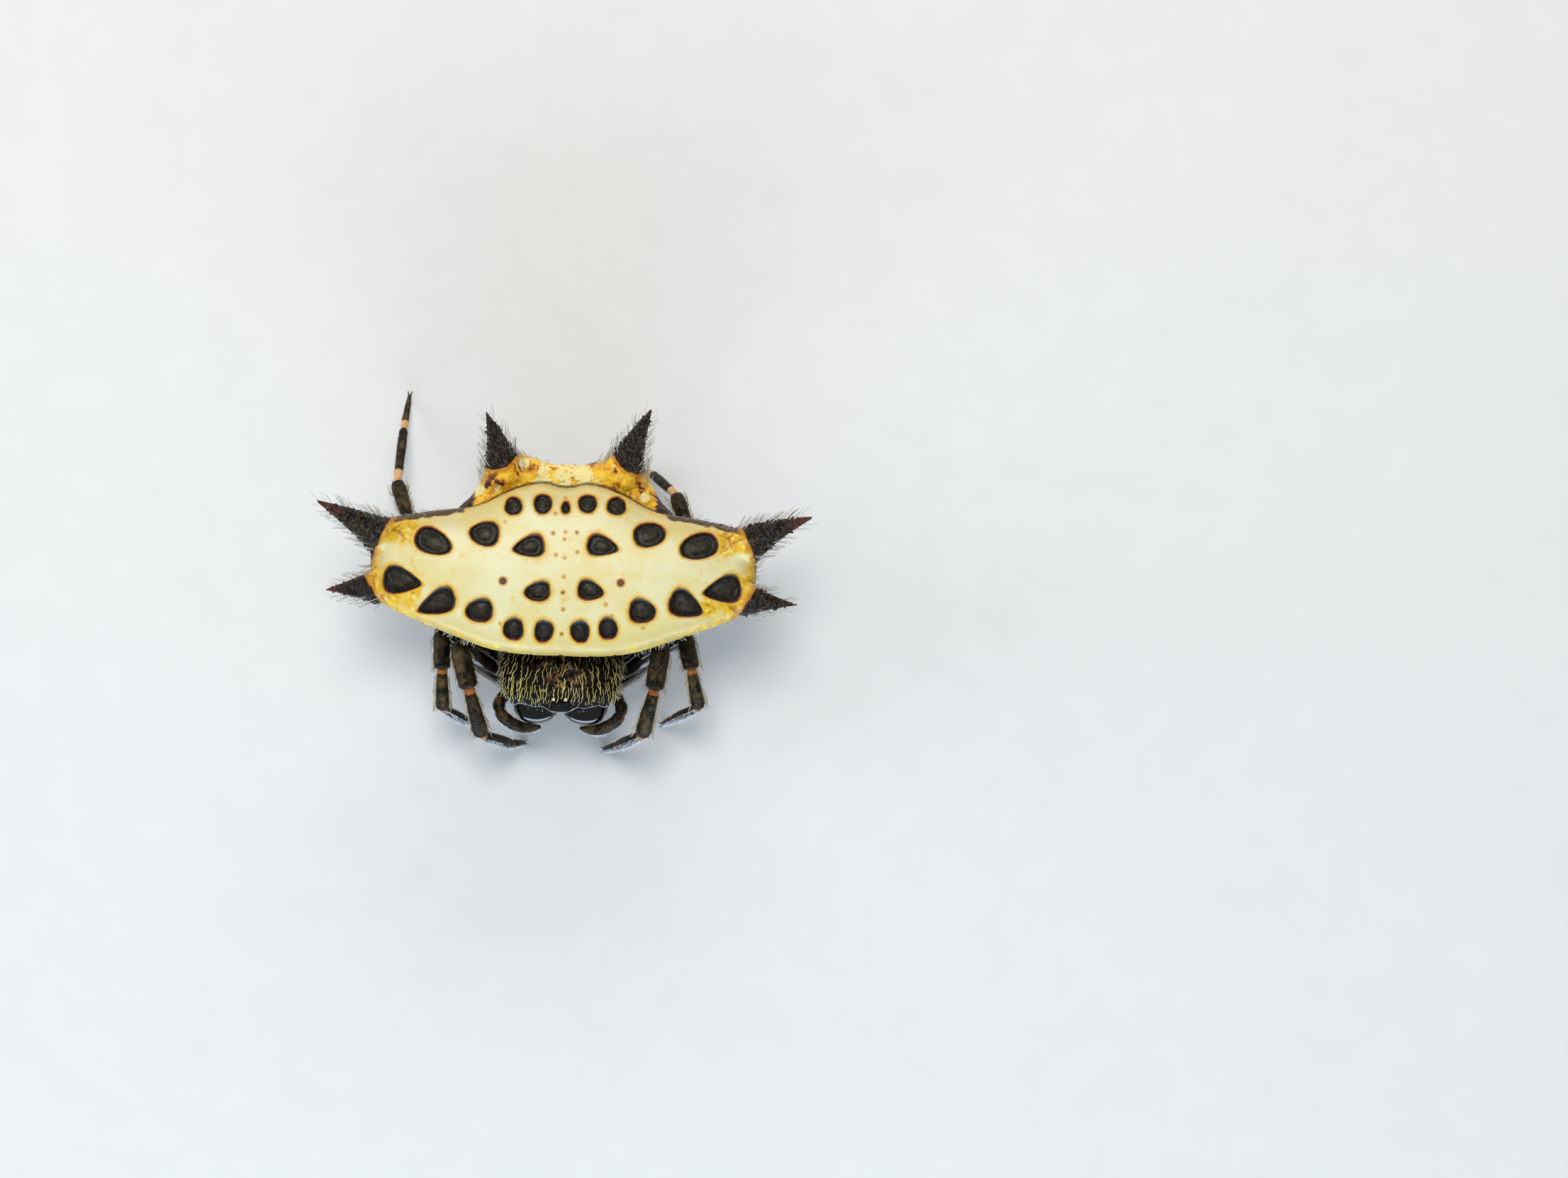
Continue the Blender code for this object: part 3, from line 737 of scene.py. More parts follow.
print("Mixing the materials")
floorPaper = makeFloorMaterial()
shieldCuticle = makeShieldMaterial()
carapaceCuticle = makeCarapaceMaterial()
undersideCuticle = makeCuticle(
    "undersideCuticle", (0.016, 0.011, 0.008), (0.085, 0.048, 0.020), 0.45, 24.0, 0.03
)
jawCuticle = makeCuticle("jawCuticle", (0.001, 0.001, 0.002), (0.004, 0.003, 0.003), 0.13, shine=0.85)
# The pale blue-white of the head's front rim is a painted highlight
highlightRimCuticle = makeCuticle("highlightRimCuticle", (0.40, 0.47, 0.56), (0.16, 0.18, 0.22), 0.25)
fangCuticle = makeCuticle("fangCuticle", (0.05, 0.010, 0.004), (0.012, 0.006, 0.004), 0.15, shine=0.5)
clawCuticle = makeCuticle("clawCuticle", (0.012, 0.008, 0.006), (0.05, 0.02, 0.01), 0.22, 20.0, 0.006)
legCuticle = makeLegMaterial()
goldHair = makeHairMaterial("goldHair", (0.56, 0.46, 0.10), (0.92, 0.82, 0.34))
buffHair = makeHairMaterial("buffHair", (0.34, 0.25, 0.12), (0.62, 0.53, 0.34))
paleHair = makeHairMaterial("paleHair", (0.38, 0.35, 0.26), (0.76, 0.75, 0.68))
# Real pale hairs, whose bluish white is a painted sheen of backlight
whiteSheenHair = makeHairMaterial("whiteSheenHair", (0.55, 0.58, 0.62), (0.74, 0.78, 0.84))
darkHair = makeHairMaterial("darkHair", (0.020, 0.012, 0.008), (0.09, 0.05, 0.02))
spineGrain = makeHairMaterial("spineGrain", (0.008, 0.005, 0.003), (0.062, 0.035, 0.015))
# Both eye materials carry a painted glint: a faint brown one on the dark eyes, an amber one on the rear
# median eyes
eyeDark = makeEyeMaterial("eyeDark", (0.010, 0.007, 0.005), (0.03, 0.015, 0.006))
eyeAmberGlint = makeEyeMaterial("eyeAmberGlint", (0.010, 0.007, 0.005), (0.95, 0.80, 0.30))


# Abdomen: shield, belly, rear slope and six spines, grown as one skin

abdomenSizes = {
    "rimHeight": 3.85, "crownRise": 0.62, "rimDrop": 0.42, "halfWidth": 5.02, "spotDepth": 0.085,
    # across and along of the half outlines
    "frontRim": [
        (0, -2.25), (0.8, -2.25), (1.85, -2.13), (2.85, -1.79), (3.95, -1.38), (4.82, -1.0), (5.02, -0.88),
    ],
    "rearRim": [
        (0, 2.17), (0.15, 2.18), (0.5, 2.27), (1.0, 2.21), (1.6, 1.98), (2.1, 1.71), (2.5, 1.57), (3.0, 1.49),
        (3.95, 1.33), (4.67, 1.18), (5.02, 1.05),
    ],
    "joinWidth": 0.30, "spineJoin": 0.12, "slopeJoin": 0.03,
    # The box that the skin grows in, and its grid
    "low": (-6.7, -2.45, 0.80), "high": (6.7, 4.5, 4.75), "step": 0.05,
    # height, half width, front and rear of level rings
    "belly": [
        (3.72, 4.30, -1.60, 1.35), (3.45, 4.30, -1.62, 1.50), (3.25, 3.95, -1.30, 1.75),
        (3.0, 3.30, -0.70, 2.0), (2.7, 2.75, -0.32, 2.2), (2.3, 2.25, -0.12, 2.15), (1.9, 1.80, 0.0, 1.95),
        (1.5, 1.35, 0.08, 1.65), (1.15, 0.92, 0.16, 1.36), (1.02, 0.72, 0.24, 1.22),
        (0.95, 0.5, 0.36, 1.10),
    ],
    # The half outline of the slope behind the rim, and its levels as height and size about the middle
    "slope": [
        (0.0, 2.83), (0.5, 2.86), (0.9, 2.98), (1.3, 3.10), (1.75, 3.02), (2.08, 2.75), (2.2, 2.45),
        (2.36, 2.15), (2.55, 1.87), (2.78, 1.62), (2.85, 1.35), (2.5, 0.8), (1.3, 0.45), (0.0, 0.4),
    ],
    "slopeLevels": [
        (2.50, 0.70), (2.55, 0.78), (2.85, 0.93), (3.2, 1.0), (3.5, 0.97), (3.68, 0.90), (3.80, 0.80),
        (3.84, 0.66),
    ],
    "slopeMiddle": 1.2,
    # The notch beside each side spine, and its dark paint: across, along, half width and half length
    "notch": (4.27, 1.30, 0.14, 0.12), "notchPaint": (4.27, 1.28, 0.17, 0.11), "notchDepth": 0.06,
}
spineTip = 0.022  # the radius at the tips
# Each spine, with how its sides hollow, how it bows, the place, outward way and curve of the edge where it
# turns dark, and the share of its length where it turns red
spineSizes = [
    {"base": (4.85, -0.64, 3.85), "tip": (6.16, -0.75, 4.0), "radius": 0.40, "hollow": 1.25,
     "bow": (0, 0, 0), "edge": (4.86, -0.71), "outward": (0.845, -0.535), "curve": 0.0, "red": 0.80},
    {"base": (-4.85, -0.60, 3.85), "tip": (-6.20, -0.75, 4.0), "radius": 0.44, "hollow": 1.12,
     "bow": (0, 0, 0), "edge": (-4.97, -0.71), "outward": (-0.845, -0.535), "curve": 0.0, "red": 0.74},
    {"base": (4.78, 0.78, 3.90), "tip": (6.50, 1.53, 4.4), "radius": 0.48, "hollow": 1.0,
     "bow": (-0.02, 0.06, 0), "edge": (4.78, 0.93), "outward": (0.92, 0.39), "curve": 0.0, "red": 0.64},
    {"base": (-4.78, 0.72, 3.90), "tip": (-6.50, 1.54, 4.4), "radius": 0.48, "hollow": 1.0,
     "bow": (0.01, 0.02, 0), "edge": (-4.72, 0.81), "outward": (-0.92, 0.39), "curve": 0.0, "red": 0.60},
    {"base": (1.45, 2.50, 3.50), "tip": (2.19, 4.29, 4.2), "radius": 0.56, "hollow": 1.06,
     "bow": (-0.06, 0.02, 0), "edge": (1.66, 2.58), "outward": (0.25, 0.97), "curve": 1.2, "red": 0.86},
    {"base": (-1.66, 2.45, 3.50), "tip": (-2.16, 4.05, 4.2), "radius": 0.56, "hollow": 1.06,
     "bow": (0.06, 0.02, 0), "edge": (-1.74, 2.56), "outward": (-0.25, 0.97), "curve": 1.2, "red": 0.86},
]
# The sunken spots: place, half width and half length, turn in degrees, how much the +x end narrows, and
# greyness
spotSizes = [
    (-4.20, -0.48, 0.49, 0.31, -10, 0.50, 0.2), (-3.28, -1.04, 0.50, 0.28, 25, -0.48, 0.1),
    (-2.14, -1.21, 0.34, 0.29, 10, -0.10, 0.2), (-1.24, -1.66, 0.25, 0.27, 0, -0.10, 0.1),
    (-0.44, -1.69, 0.23, 0.27, -10, 0.0, 0.2), (-0.64, -0.67, 0.32, 0.24, 14, -0.22, 0.5),
    (-0.90, 0.51, 0.39, 0.26, 14, -0.35, 0.6), (-3.40, 0.56, 0.49, 0.32, -24, 0.34, 0.9),
    (-2.08, 0.82, 0.37, 0.31, 0, -0.15, 0.9), (-1.35, 1.58, 0.21, 0.23, 0, 0.0, 0.5),
    (-0.58, 1.66, 0.22, 0.25, 0, 0.0, 0.6), (0.02, 1.58, 0.10, 0.15, 0, 0.0, 0.0),
    (4.20, -0.45, 0.48, 0.31, 14, -0.48, 0.2), (3.26, -0.89, 0.44, 0.31, -25, 0.42, 0.2),
    (2.12, -1.09, 0.33, 0.30, -12, 0.10, 0.3), (1.24, -1.57, 0.23, 0.27, 10, 0.0, 0.1),
    (0.51, -1.67, 0.23, 0.27, 12, 0.0, 0.1), (0.75, -0.60, 0.32, 0.24, -14, 0.30, 0.5),
    (1.02, 0.59, 0.39, 0.25, -10, 0.35, 0.6), (3.53, 0.67, 0.49, 0.33, 18, -0.22, 0.9),
    (2.23, 0.93, 0.40, 0.31, 12, 0.0, 0.9), (1.35, 1.67, 0.23, 0.23, 0, 0.0, 0.5),
    (0.59, 1.70, 0.22, 0.23, 0, 0.0, 0.6),
]
# The small brown dots: place and radius
brownDots = [
    (-1.55, -0.42, 0.095), (1.53, -0.37, 0.095), (-0.24, 1.41, 0.028), (0.04, 0.93, 0.02),
    (0.02, 0.73, 0.024), (0.04, 0.24, 0.024), (0.04, -0.26, 0.022), (0.03, -0.67, 0.042),
    (0.05, -1.11, 0.028), (0.03, -1.75, 0.030), (-0.28, 0.88, 0.030), (0.34, 0.92, 0.032),
    (-0.19, 0.31, 0.028), (0.37, 0.40, 0.028), (-1.55, 1.15, 0.016), (1.16, -0.95, 0.026),
    (2.15, -1.52, 0.016), (1.32, -1.24, 0.014), (-1.59, -1.53, 0.014), (0.0, 1.84, 0.026),
]
# The main stains: across, along, half width, half length and strength, the same on both sides
stainSizes = [
    (4.28, 0.80, 0.40, 0.26, 0.75), (3.86, -0.82, 0.20, 0.30, 0.45), (4.52, -0.84, 0.34, 0.20, 0.80),
]
# The pale round blotches of the slope: place and radius
blotchSizes = [(0.54, 2.50, 0.17), (-1.13, 2.78, 0.12), (-2.28, 2.08, 0.13), (2.08, 1.98, 0.12)]
frontRim = smoothLine(abdomenSizes["frontRim"])
rearRim = smoothLine(abdomenSizes["rearRim"])


def softSpot(x, y, middleX, middleY, halfWidth, halfLength):
    # 1 in the middle and softly less around it
    return np.exp(-((x - middleX) / halfWidth) ** 2 - ((y - middleY) / halfLength) ** 2)


def spotDistance(x, y):
    # Signed distance to the nearest spot's outline, negative inside, the share of the way out, its greyness,
    # and how far its edge there faces away from the shield's middle
    nearest = np.full(len(x), 9.0)
    share, grey, away = np.full(len(x), 9.0), np.zeros(len(x)), np.zeros(len(x))
    for middleX, middleY, halfWidth, halfLength, turn, narrow, greyness in spotSizes:
        near = (abs(x - middleX) < 1.2) & (abs(y - middleY) < 1.0)
        turnAngle = math.radians(turn)
        offsetX, offsetY = x[near] - middleX, y[near] - middleY
        across = (offsetX * math.cos(turnAngle) + offsetY * math.sin(turnAngle)) / halfWidth
        along = (offsetY * math.cos(turnAngle) - offsetX * math.sin(turnAngle)) / halfLength
        along = along / (1 - narrow * np.clip(across, -1.3, 1.3))
        wobble = 1 + 0.03 * np.sin(3 * np.arctan2(along, across) + middleX * 5)
        reach = (np.abs(across) ** 2.2 + np.abs(along) ** 2.2) ** (1 / 2.2) * wobble
        distance = (reach - 1) * math.sqrt(halfWidth * halfLength)
        nearer = distance < nearest[near]
        share[near] = np.where(nearer, reach, share[near])
        grey[near] = np.where(nearer, greyness, grey[near])
        facing = offsetY / halfLength * (1 if middleY > 0 else -1)
        away[near] = np.where(nearer, facing, away[near])
        nearest[near] = np.where(nearer, distance, nearest[near])
    return nearest, share, grey, away


def topRelief(x, y):
    # How far the shield's top stands out: a cross ridge, a lip round each spot and a boss in it, less the
    # spots and the notches
    distance, share, _, _ = spotDistance(x, y)
    sunk = abdomenSizes["spotDepth"] * ease(0.04, -0.06, distance)
    boss = 0.035 * ease(0.75, 0.2, share)
    lip = 0.006 * np.exp(-((distance - 0.05) / 0.05) ** 2)
    ridge = 0.022 * np.exp(-((y - 0.04) / 0.75) ** 2) * ease(5.0, 3.6, np.abs(x))
    notch = abdomenSizes["notchDepth"] * softSpot(np.abs(x), y, *abdomenSizes["notch"])
    return ridge + lip + boss - sunk - notch


def shieldShape(points):
    x, y, z = np.abs(points[:, 0]), points[:, 1], points[:, 2]
    front, rear = lookUp(frontRim, x), lookUp(rearRim, x)
    along = np.abs((y - (front + rear) / 2) / ((rear - front) / 2))
    side = x / abdomenSizes["halfWidth"]
    rise = abdomenSizes["crownRise"] * (1 - 0.56 * np.minimum(side, 1.1) ** 3)
    drop = abdomenSizes["rimDrop"] * (1 - 0.2 * np.minimum(side, 1.1) ** 2)
    height = z - abdomenSizes["rimHeight"]
    over = np.where(height > 0, height / rise, -height / drop)
    return np.minimum(along, 3) ** 2.6 + np.minimum(over, 4) ** 2.6 + np.minimum(side, 1.3) ** 26 - 1


def ringShape(table, power):
    # The solid of level rings given as (height, half width, front, rear)
    lines = [smoothLine([(row[0], row[column]) for row in table]) for column in (1, 2, 3)]
    low, high = min(row[0] for row in table), max(row[0] for row in table)

    def shape(points):
        z = points[:, 2]
        width, front, rear = (lookUp(line, z) for line in lines)
        across = np.minimum(np.abs(points[:, 0]) / width, 4)
        along = np.minimum(np.abs(points[:, 1] - (front + rear) / 2) / ((rear - front) / 2), 4)
        return np.maximum(across ** power + along ** power - 1, np.maximum(z - high, low - z) * 2.0)

    return shape


def slopeShape(points):
    # The slope's outline as bearing and reach from its middle, larger or smaller at each height
    x, y, z = np.abs(points[:, 0]), points[:, 1] - abdomenSizes["slopeMiddle"], points[:, 2]
    reach = np.hypot(x, y) / lookUp(slopeSize, z)
    edge = lookUp(slopeReach, np.arctan2(y, x))
    low, high = slopeSize[0][0], slopeSize[0][-1]
    return np.maximum(reach / edge - 1, np.maximum(z - high, low - z) * 2.0)


slopeReach = smoothLine([
    (math.atan2(y - abdomenSizes["slopeMiddle"], x), math.hypot(x, y - abdomenSizes["slopeMiddle"]))
    for x, y in abdomenSizes["slope"]
])
slopeSize = smoothLine(abdomenSizes["slopeLevels"])
bellyShape = ringShape(abdomenSizes["belly"], 2.2)


def spineParts(points, spine):
    # Share of the way along a spine, distance from its bowed axis and its radius there
    base, tip = np.array(spine["base"]), np.array(spine["tip"])
    length = np.linalg.norm(tip - base)
    axis = (tip - base) / length
    offset = points - base
    share = offset @ axis / length
    bow = np.sin(np.clip(share, 0, 1) * math.pi)[:, None] * np.array(spine["bow"])
    away = np.linalg.norm(offset - (share * length)[:, None] * axis - bow, axis=1)
    girth = spine["radius"] * np.clip(1 - share, 0, 1) ** spine["hollow"]
    girth = girth * (1 + 1.4 * np.clip(share, -0.5, 0)) + spineTip
    return share, away, girth, length


def abdomenField(points):
    shield = asDistance(shieldShape, points)
    onTop = ease(0.0, 0.12, points[:, 2] - abdomenSizes["rimHeight"])
    shield = shield - topRelief(points[:, 0], points[:, 1]) * onTop
    belly = asDistance(bellyShape, points)
    bearing = np.arctan2(points[:, 1] - 0.9, points[:, 0])
    folds = np.sin(bearing * 18 + np.sin(points[:, 2] * 5) * 1.5)
    belly = belly - 0.016 * folds * ease(3.3, 2.6, points[:, 2]) * ease(0.98, 1.5, points[:, 2])
    rear = asDistance(slopeShape, points)
    body = smoothJoin(shield, smoothJoin(belly, rear, 0.35), abdomenSizes["joinWidth"])
    behind = ease(1.2, 1.7, points[:, 1]) * ease(3.2, 3.5, points[:, 2])
    tight = smoothJoin(shield, rear, abdomenSizes["slopeJoin"])
    body = body * (1 - behind) + tight * behind
    for spine in spineSizes:
        share, away, girth, length = spineParts(points, spine)
        cone = np.maximum((away - girth) * 0.95, (share - 1.005) * length)
        cone = np.maximum(cone, (-0.25 - share) * length)
        body = smoothJoin(body, cone, abdomenSizes["spineJoin"])
    return body


def paintSpines(points):
    # How far inside the dark part of a spine each place lies, negative outside, and how red it is
    x, y, _ = points.T
    dark, red = np.full(len(points), -1.0), np.zeros(len(points))
    for spine in spineSizes:
        part, fromAxis, _, _ = spineParts(points, spine)
        (edgeX, edgeY), (outX, outY) = spine["edge"], spine["outward"]
        past = (x - edgeX) * outX + (y - edgeY) * outY
        past -= spine["curve"] * ((x - edgeX) * outY - (y - edgeY) * outX) ** 2
        reach = spine["radius"] * np.clip(1 - part, 0, 1) * 1.35 + 0.10
        dark = np.maximum(dark, np.minimum(past, (reach - fromAxis) * 1.5))
        red = np.maximum(red, ease(spine["red"] - 0.12, spine["red"] + 0.22, part) * (fromAxis < reach))
    return dark, red


def paintAbdomen(points):
    x, y, z = points.T
    ax, rimHeight = np.abs(x), abdomenSizes["rimHeight"]
    front, rear = lookUp(frontRim, ax), lookUp(rearRim, ax)
    inward = np.minimum(np.minimum(y - front, rear - y), abdomenSizes["halfWidth"] - ax)
    onTop = z > rimHeight - 0.06
    distance, share, grey, away = spotDistance(x, y)
    dark, red = paintSpines(points)
    stain = 0.25 * ease(0.22, 0.0, inward) * ease(0.5, 2.5, ax) + 0.35 * ease(4.55, 5.0, ax)
    stain += 0.25 * ease(3.0, 4.6, ax) * ease(0.15, 0.45, np.abs(y - 0.2))
    for *place, strength in stainSizes:
        stain += strength * softSpot(ax, y, *place)
    rearEdge = ease(0.27, 0.03, rear - y) * ease(2.5, 2.8, ax) * (y > 0.5)
    rearEdge = np.maximum(rearEdge, softSpot(ax, y, *abdomenSizes["notchPaint"])) * onTop
    # A dark line in the crease where the rear rim meets the slope, darkened further as painted shade
    creaseLineAndShade = np.exp(-((rear - y + 0.005) / 0.045) ** 2) * (y > 1.0) * ease(3.6, 3.7, z) * ease(4.95, 4.7, ax)
    slope = ease(0.0, -0.05, rear - y) * ease(3.15, 2.95, ax) * ease(2.8, 3.2, z) * (y > 1.0)
    under = ease(rimHeight - 0.08, rimHeight - 0.25, z) * (1 - slope * ease(3.0, 3.3, z))
    blotch = ease(1.15, 0.4, ax) * ease(2.9, 3.3, z) * 0.60
    for placeX, placeY, radius in blotchSizes:
        reach = np.hypot(x - placeX, y - placeY)
        blotch = np.maximum(blotch, 1.3 * ease(radius + 0.05, radius - 0.05, reach))
    dot = np.min([np.hypot(x - dotX, y - dotY) - radius for dotX, dotY, radius in brownDots], axis=0)
    return {
        "spot": np.where(onTop, distance, 1.0), "ring": share, "grey": grey, "dot": np.where(onTop, dot, 1.0),
        "away": np.clip(away, -1, 1) * 0.5 + 0.5, "rim": inward, "spine": dark, "red": red, "stain": stain,
        "rearEdge": rearEdge, "creaseLineAndShade": creaseLineAndShade, "slope": slope, "under": under, "blotch": blotch,
        "flank": ease(2.15, 2.75, ax) * ease(3.0, 2.2, y), "bellyBand": ease(1.1, 1.5, z),
    }


print("Growing the abdomen")
abdomenPoints, abdomenQuads = growSkin(
    abdomenField, abdomenSizes["low"], abdomenSizes["high"], abdomenSizes["step"]
)
abdomenPaint = paintAbdomen(abdomenPoints)
meshPiece("abdomenSkin", abdomenPoints, abdomenQuads, shieldCuticle, ("abdomen",), abdomenPaint)
print(f"  abdomen: {len(abdomenQuads) * 2} triangles")


# Carapace: one skin over level sections, with an eye hill and four low knobs

carapaceSizes = {
    # along, half width, underside and top of upright sections, from the rear to the face
    "sections": [
        (-0.74, 0.52, 1.78, 2.14), (-0.84, 0.72, 1.70, 2.24), (-1.05, 0.98, 1.64, 2.38),
        (-1.4, 1.28, 1.62, 2.56), (-1.8, 1.50, 1.70, 2.74), (-2.2, 1.61, 1.82, 2.90),
        (-2.6, 1.61, 1.94, 3.03), (-2.9, 1.56, 2.06, 3.08), (-3.12, 1.48, 2.18, 3.05),
        (-3.28, 1.34, 2.26, 2.98), (-3.42, 1.08, 2.34, 2.88), (-3.50, 0.72, 2.42, 2.79),
    ],
    # The eye hill's middle and half sizes, and the place and radius of the left knobs
    "hill": ((0, -3.36, 2.72), (0.40, 0.30, 0.26)),
    "knobs": [(0.55, -2.62, 3.0, 0.16), (0.28, -2.42, 3.0, 0.15)],
    # The box that the skin grows in, and its grid
    "low": (-1.8, -3.85, 1.45), "high": (1.8, -0.6, 3.35), "step": 0.03,
}
# The left eye of each pair: place and radius
eyeSizes = {
    "front_median": (0.15, -3.60, 2.60, 0.085), "rear_median": (0.16, -3.33, 2.94, 0.090),
    "front_lateral": (1.24, -3.40, 2.60, 0.075), "rear_lateral": (1.37, -3.26, 2.72, 0.075),
}
eyeFocus = np.array((0.35, -2.9, 2.45))  # the eyes look away from this place inside the head
carapaceFront = smoothLine([
    (0, -3.54), (0.4, -3.53), (0.72, -3.50), (1.08, -3.42), (1.34, -3.28), (1.48, -3.12), (1.56, -2.9),
    (1.61, -2.6),
])
carapaceLines = [
    smoothLine([(row[0], row[column]) for row in carapaceSizes["sections"]]) for column in (1, 2, 3)
]


def carapaceShape(points):
    y = points[:, 1]
    width, low, high = (lookUp(line, y) for line in carapaceLines)
    across = np.minimum(np.abs(points[:, 0]) / width, 4)
    over = np.minimum(np.abs(points[:, 2] - (low + high) / 2) / ((high - low) / 2), 4)
    ends = np.maximum(y + 0.72, -3.52 - y) * 3
    return np.maximum(across ** 2.5 + over ** 2.5 - 1, ends)


def ballField(points, middle, radius):
    return np.linalg.norm(points - np.array(middle), axis=1) - radius


def carapaceField(points):
    body, folded = asDistance(carapaceShape, points), mirrored(points)
    hillMiddle, hillSize = np.array(carapaceSizes["hill"])
    hill = np.linalg.norm((points - hillMiddle) / hillSize, axis=1) - 1
    body = smoothJoin(body, hill * 0.28, 0.10)
    for x, y, z, radius in carapaceSizes["knobs"]:
        body = smoothJoin(body, ballField(folded, (x, y, z), radius), 0.12)
    for x, y, z, radius in eyeSizes.values():
        outward = unit(np.array((x, y, z)) - eyeFocus)
        collar = ballField(folded, np.array((x, y, z)) - outward * 0.05, radius + 0.022)
        body = smoothJoin(body, collar, 0.08)
        body = np.maximum(body, -ballField(folded, (x, y, z), radius + 0.004))
    return body


def paintCarapace(points):
    # The brown bosses in the middle, and the smooth edge along the front, faint in the middle
    x, y, z = np.abs(points[:, 0]), points[:, 1], points[:, 2]
    boss = ease(0.85, 0.45, x) * ease(-3.3, -3.0, y) * ease(-1.9, -2.3, y) * ease(2.6, 2.8, z)
    edge = ease(0.11, 0.05, (y - lookUp(carapaceFront, x)) * (1 - 0.55 * ease(0.9, 1.45, x)))
    edge *= (1 - 0.85 * ease(0.42, 0.30, x)) * (y < -3.05)
    return {"boss": boss, "edge": edge}


print("Growing the carapace")
carapacePoints, carapaceQuads = growSkin(
    carapaceField, carapaceSizes["low"], carapaceSizes["high"], carapaceSizes["step"]
)
meshPiece(
    "carapaceSkin", carapacePoints, carapaceQuads, carapaceCuticle, ("cephalothorax",),
    paintCarapace(carapacePoints),
)

highlightRimSizes = {"halfSpan": 1.5, "radius": 0.012, "least": 0.002, "points": 121, "sides": 8, "smoothings": 6}


def makeHighlightRim():
    # A thin rod along the front edge of the head, coloured pale blue-white as a painted highlight
    line = []
    for x in np.linspace(-highlightRimSizes["halfSpan"], highlightRimSizes["halfSpan"], highlightRimSizes["points"]):
        near = carapacePoints[np.abs(carapacePoints[:, 0] - x) < 0.045]
        line.append((x, *near[np.argmin(near[:, 1]), 1:]))
    line = np.array(line)
    for _ in range(highlightRimSizes["smoothings"]):
        line[1:-1, 1:] = (line[:-2, 1:] + line[1:-1, 1:] * 2 + line[2:, 1:]) / 4
    x = line[:, 0]
    waves = 0.75 + 0.25 * np.sin(x * 23.0 + np.sin(x * 9.0))
    radii = highlightRimSizes["radius"] * waves * ease(1.50, 1.38, np.abs(x)) + highlightRimSizes["least"]
    points, faces, *_ = rodPoints(line, radii, highlightRimSizes["sides"])
    meshPiece("highlightRim", points, faces, highlightRimCuticle)


def makeEye(cadName, middle, radius, material):
    # A ball with a painted glint on its upper front side, amber on the rear median eyes
    glintAim, poleAngle, rings, sides = np.array((0, -0.25, 0.97)), 0.12, 15, 24
    turns = np.linspace(poleAngle, math.pi - poleAngle, rings)
    line = np.array(middle) - np.outer(np.cos(turns), (0, 0, radius))
    points, faces, *_ = rodPoints(line, radius * np.sin(turns), sides)
    glow = ease(0.88, 0.97, (points - np.array(middle)) @ glintAim / radius)
    meshPiece(cadName + "_lens", points, faces, material, (cadName,), {"glow": glow})


makeHighlightRim()
for eyeName, (eyeX, eyeY, eyeZ, eyeRadius) in eyeSizes.items():
    eyeMaterial = eyeAmberGlint if eyeName == "rear_median" else eyeDark
    for sideName, side in (("left", 1), ("right", -1)):
        makeEye(f"eye_{eyeName}_{sideName}", (side * eyeX, eyeY, eyeZ), eyeRadius, eyeMaterial)


# Jaws: bulging polished chelicerae with a fang each

jawSizes = {
    "rings": [
        (2.00, 0.61, -3.29, 0.30, 0.26), (1.92, 0.63, -3.34, 0.48, 0.42), (1.74, 0.65, -3.38, 0.60, 0.51),
        (1.5, 0.64, -3.37, 0.54, 0.45), (1.2, 0.56, -3.33, 0.40, 0.34), (0.95, 0.49, -3.24, 0.26, 0.25),
        (0.82, 0.46, -3.20, 0.16, 0.16),
    ],
    "fang": [
        (0.43, -3.17, 0.80, 0.09), (0.38, -3.18, 0.64, 0.085), (0.26, -3.20, 0.48, 0.06),
        (0.13, -3.10, 0.36, 0.015),
    ],
    "fangPoints": 16, "fangSides": 14,
    # The box that a jaw's skin grows in about its middle, and its grid
    "middle": 0.66, "low": (-0.66, -4.0, 0.70), "high": (0.66, -2.75, 2.15), "step": 0.03,
}
jawLines = [smoothLine([(row[0], row[column]) for row in jawSizes["rings"]]) for column in (1, 2, 3, 4)]


def jawShape(points, side):
    # The solid of level rings given as (height, middle across and along, half width, half length)
    z, low, high = points[:, 2], jawSizes["rings"][-1][0] - 0.02, jawSizes["rings"][0][0] + 0.02
    middleX, middleY, width, depth = (lookUp(line, z) for line in jawLines)
    across = np.minimum(np.abs(points[:, 0] - side * middleX) / width, 4)
    along = np.minimum(np.abs(points[:, 1] - middleY) / depth, 4)
    return np.maximum(across ** 2.2 + along ** 2.2 - 1, np.maximum(z - high, low - z) * 3)


def taperedLine(rows, side, count):
    # A smooth line and its radii through (across, along, height, radius) rows
    line = pointsAlong([(side * x, y, z) for x, y, z, _ in rows], count)
    radii = pointsAlong([(index, row[3]) for index, row in enumerate(rows)], count)[:, 1]
    return line, radii


def makeJaw(sideName, side):
    def field(points):
        return asDistance(lambda places: jawShape(places, side), points)

    middle = np.array((side * jawSizes["middle"], 0, 0))
    points, quads = growSkin(field, middle + jawSizes["low"], middle + jawSizes["high"], jawSizes["step"])
    meshPiece(f"jaw_{sideName}", points, quads, jawCuticle, (f"chelicera_{sideName}",))
    line, radii = taperedLine(jawSizes["fang"], side, jawSizes["fangPoints"])
    fangPoints, faces, *_ = rodPoints(line, radii, jawSizes["fangSides"])
    meshPiece(f"fang_{sideName}_tooth", fangPoints, faces, fangCuticle, (f"fang_{sideName}",))
    return points, quads


print("Shaping the jaws")
jaws = [makeJaw("left", 1), makeJaw("right", -1)]


# Palps and legs: rods with a shape for each joint piece

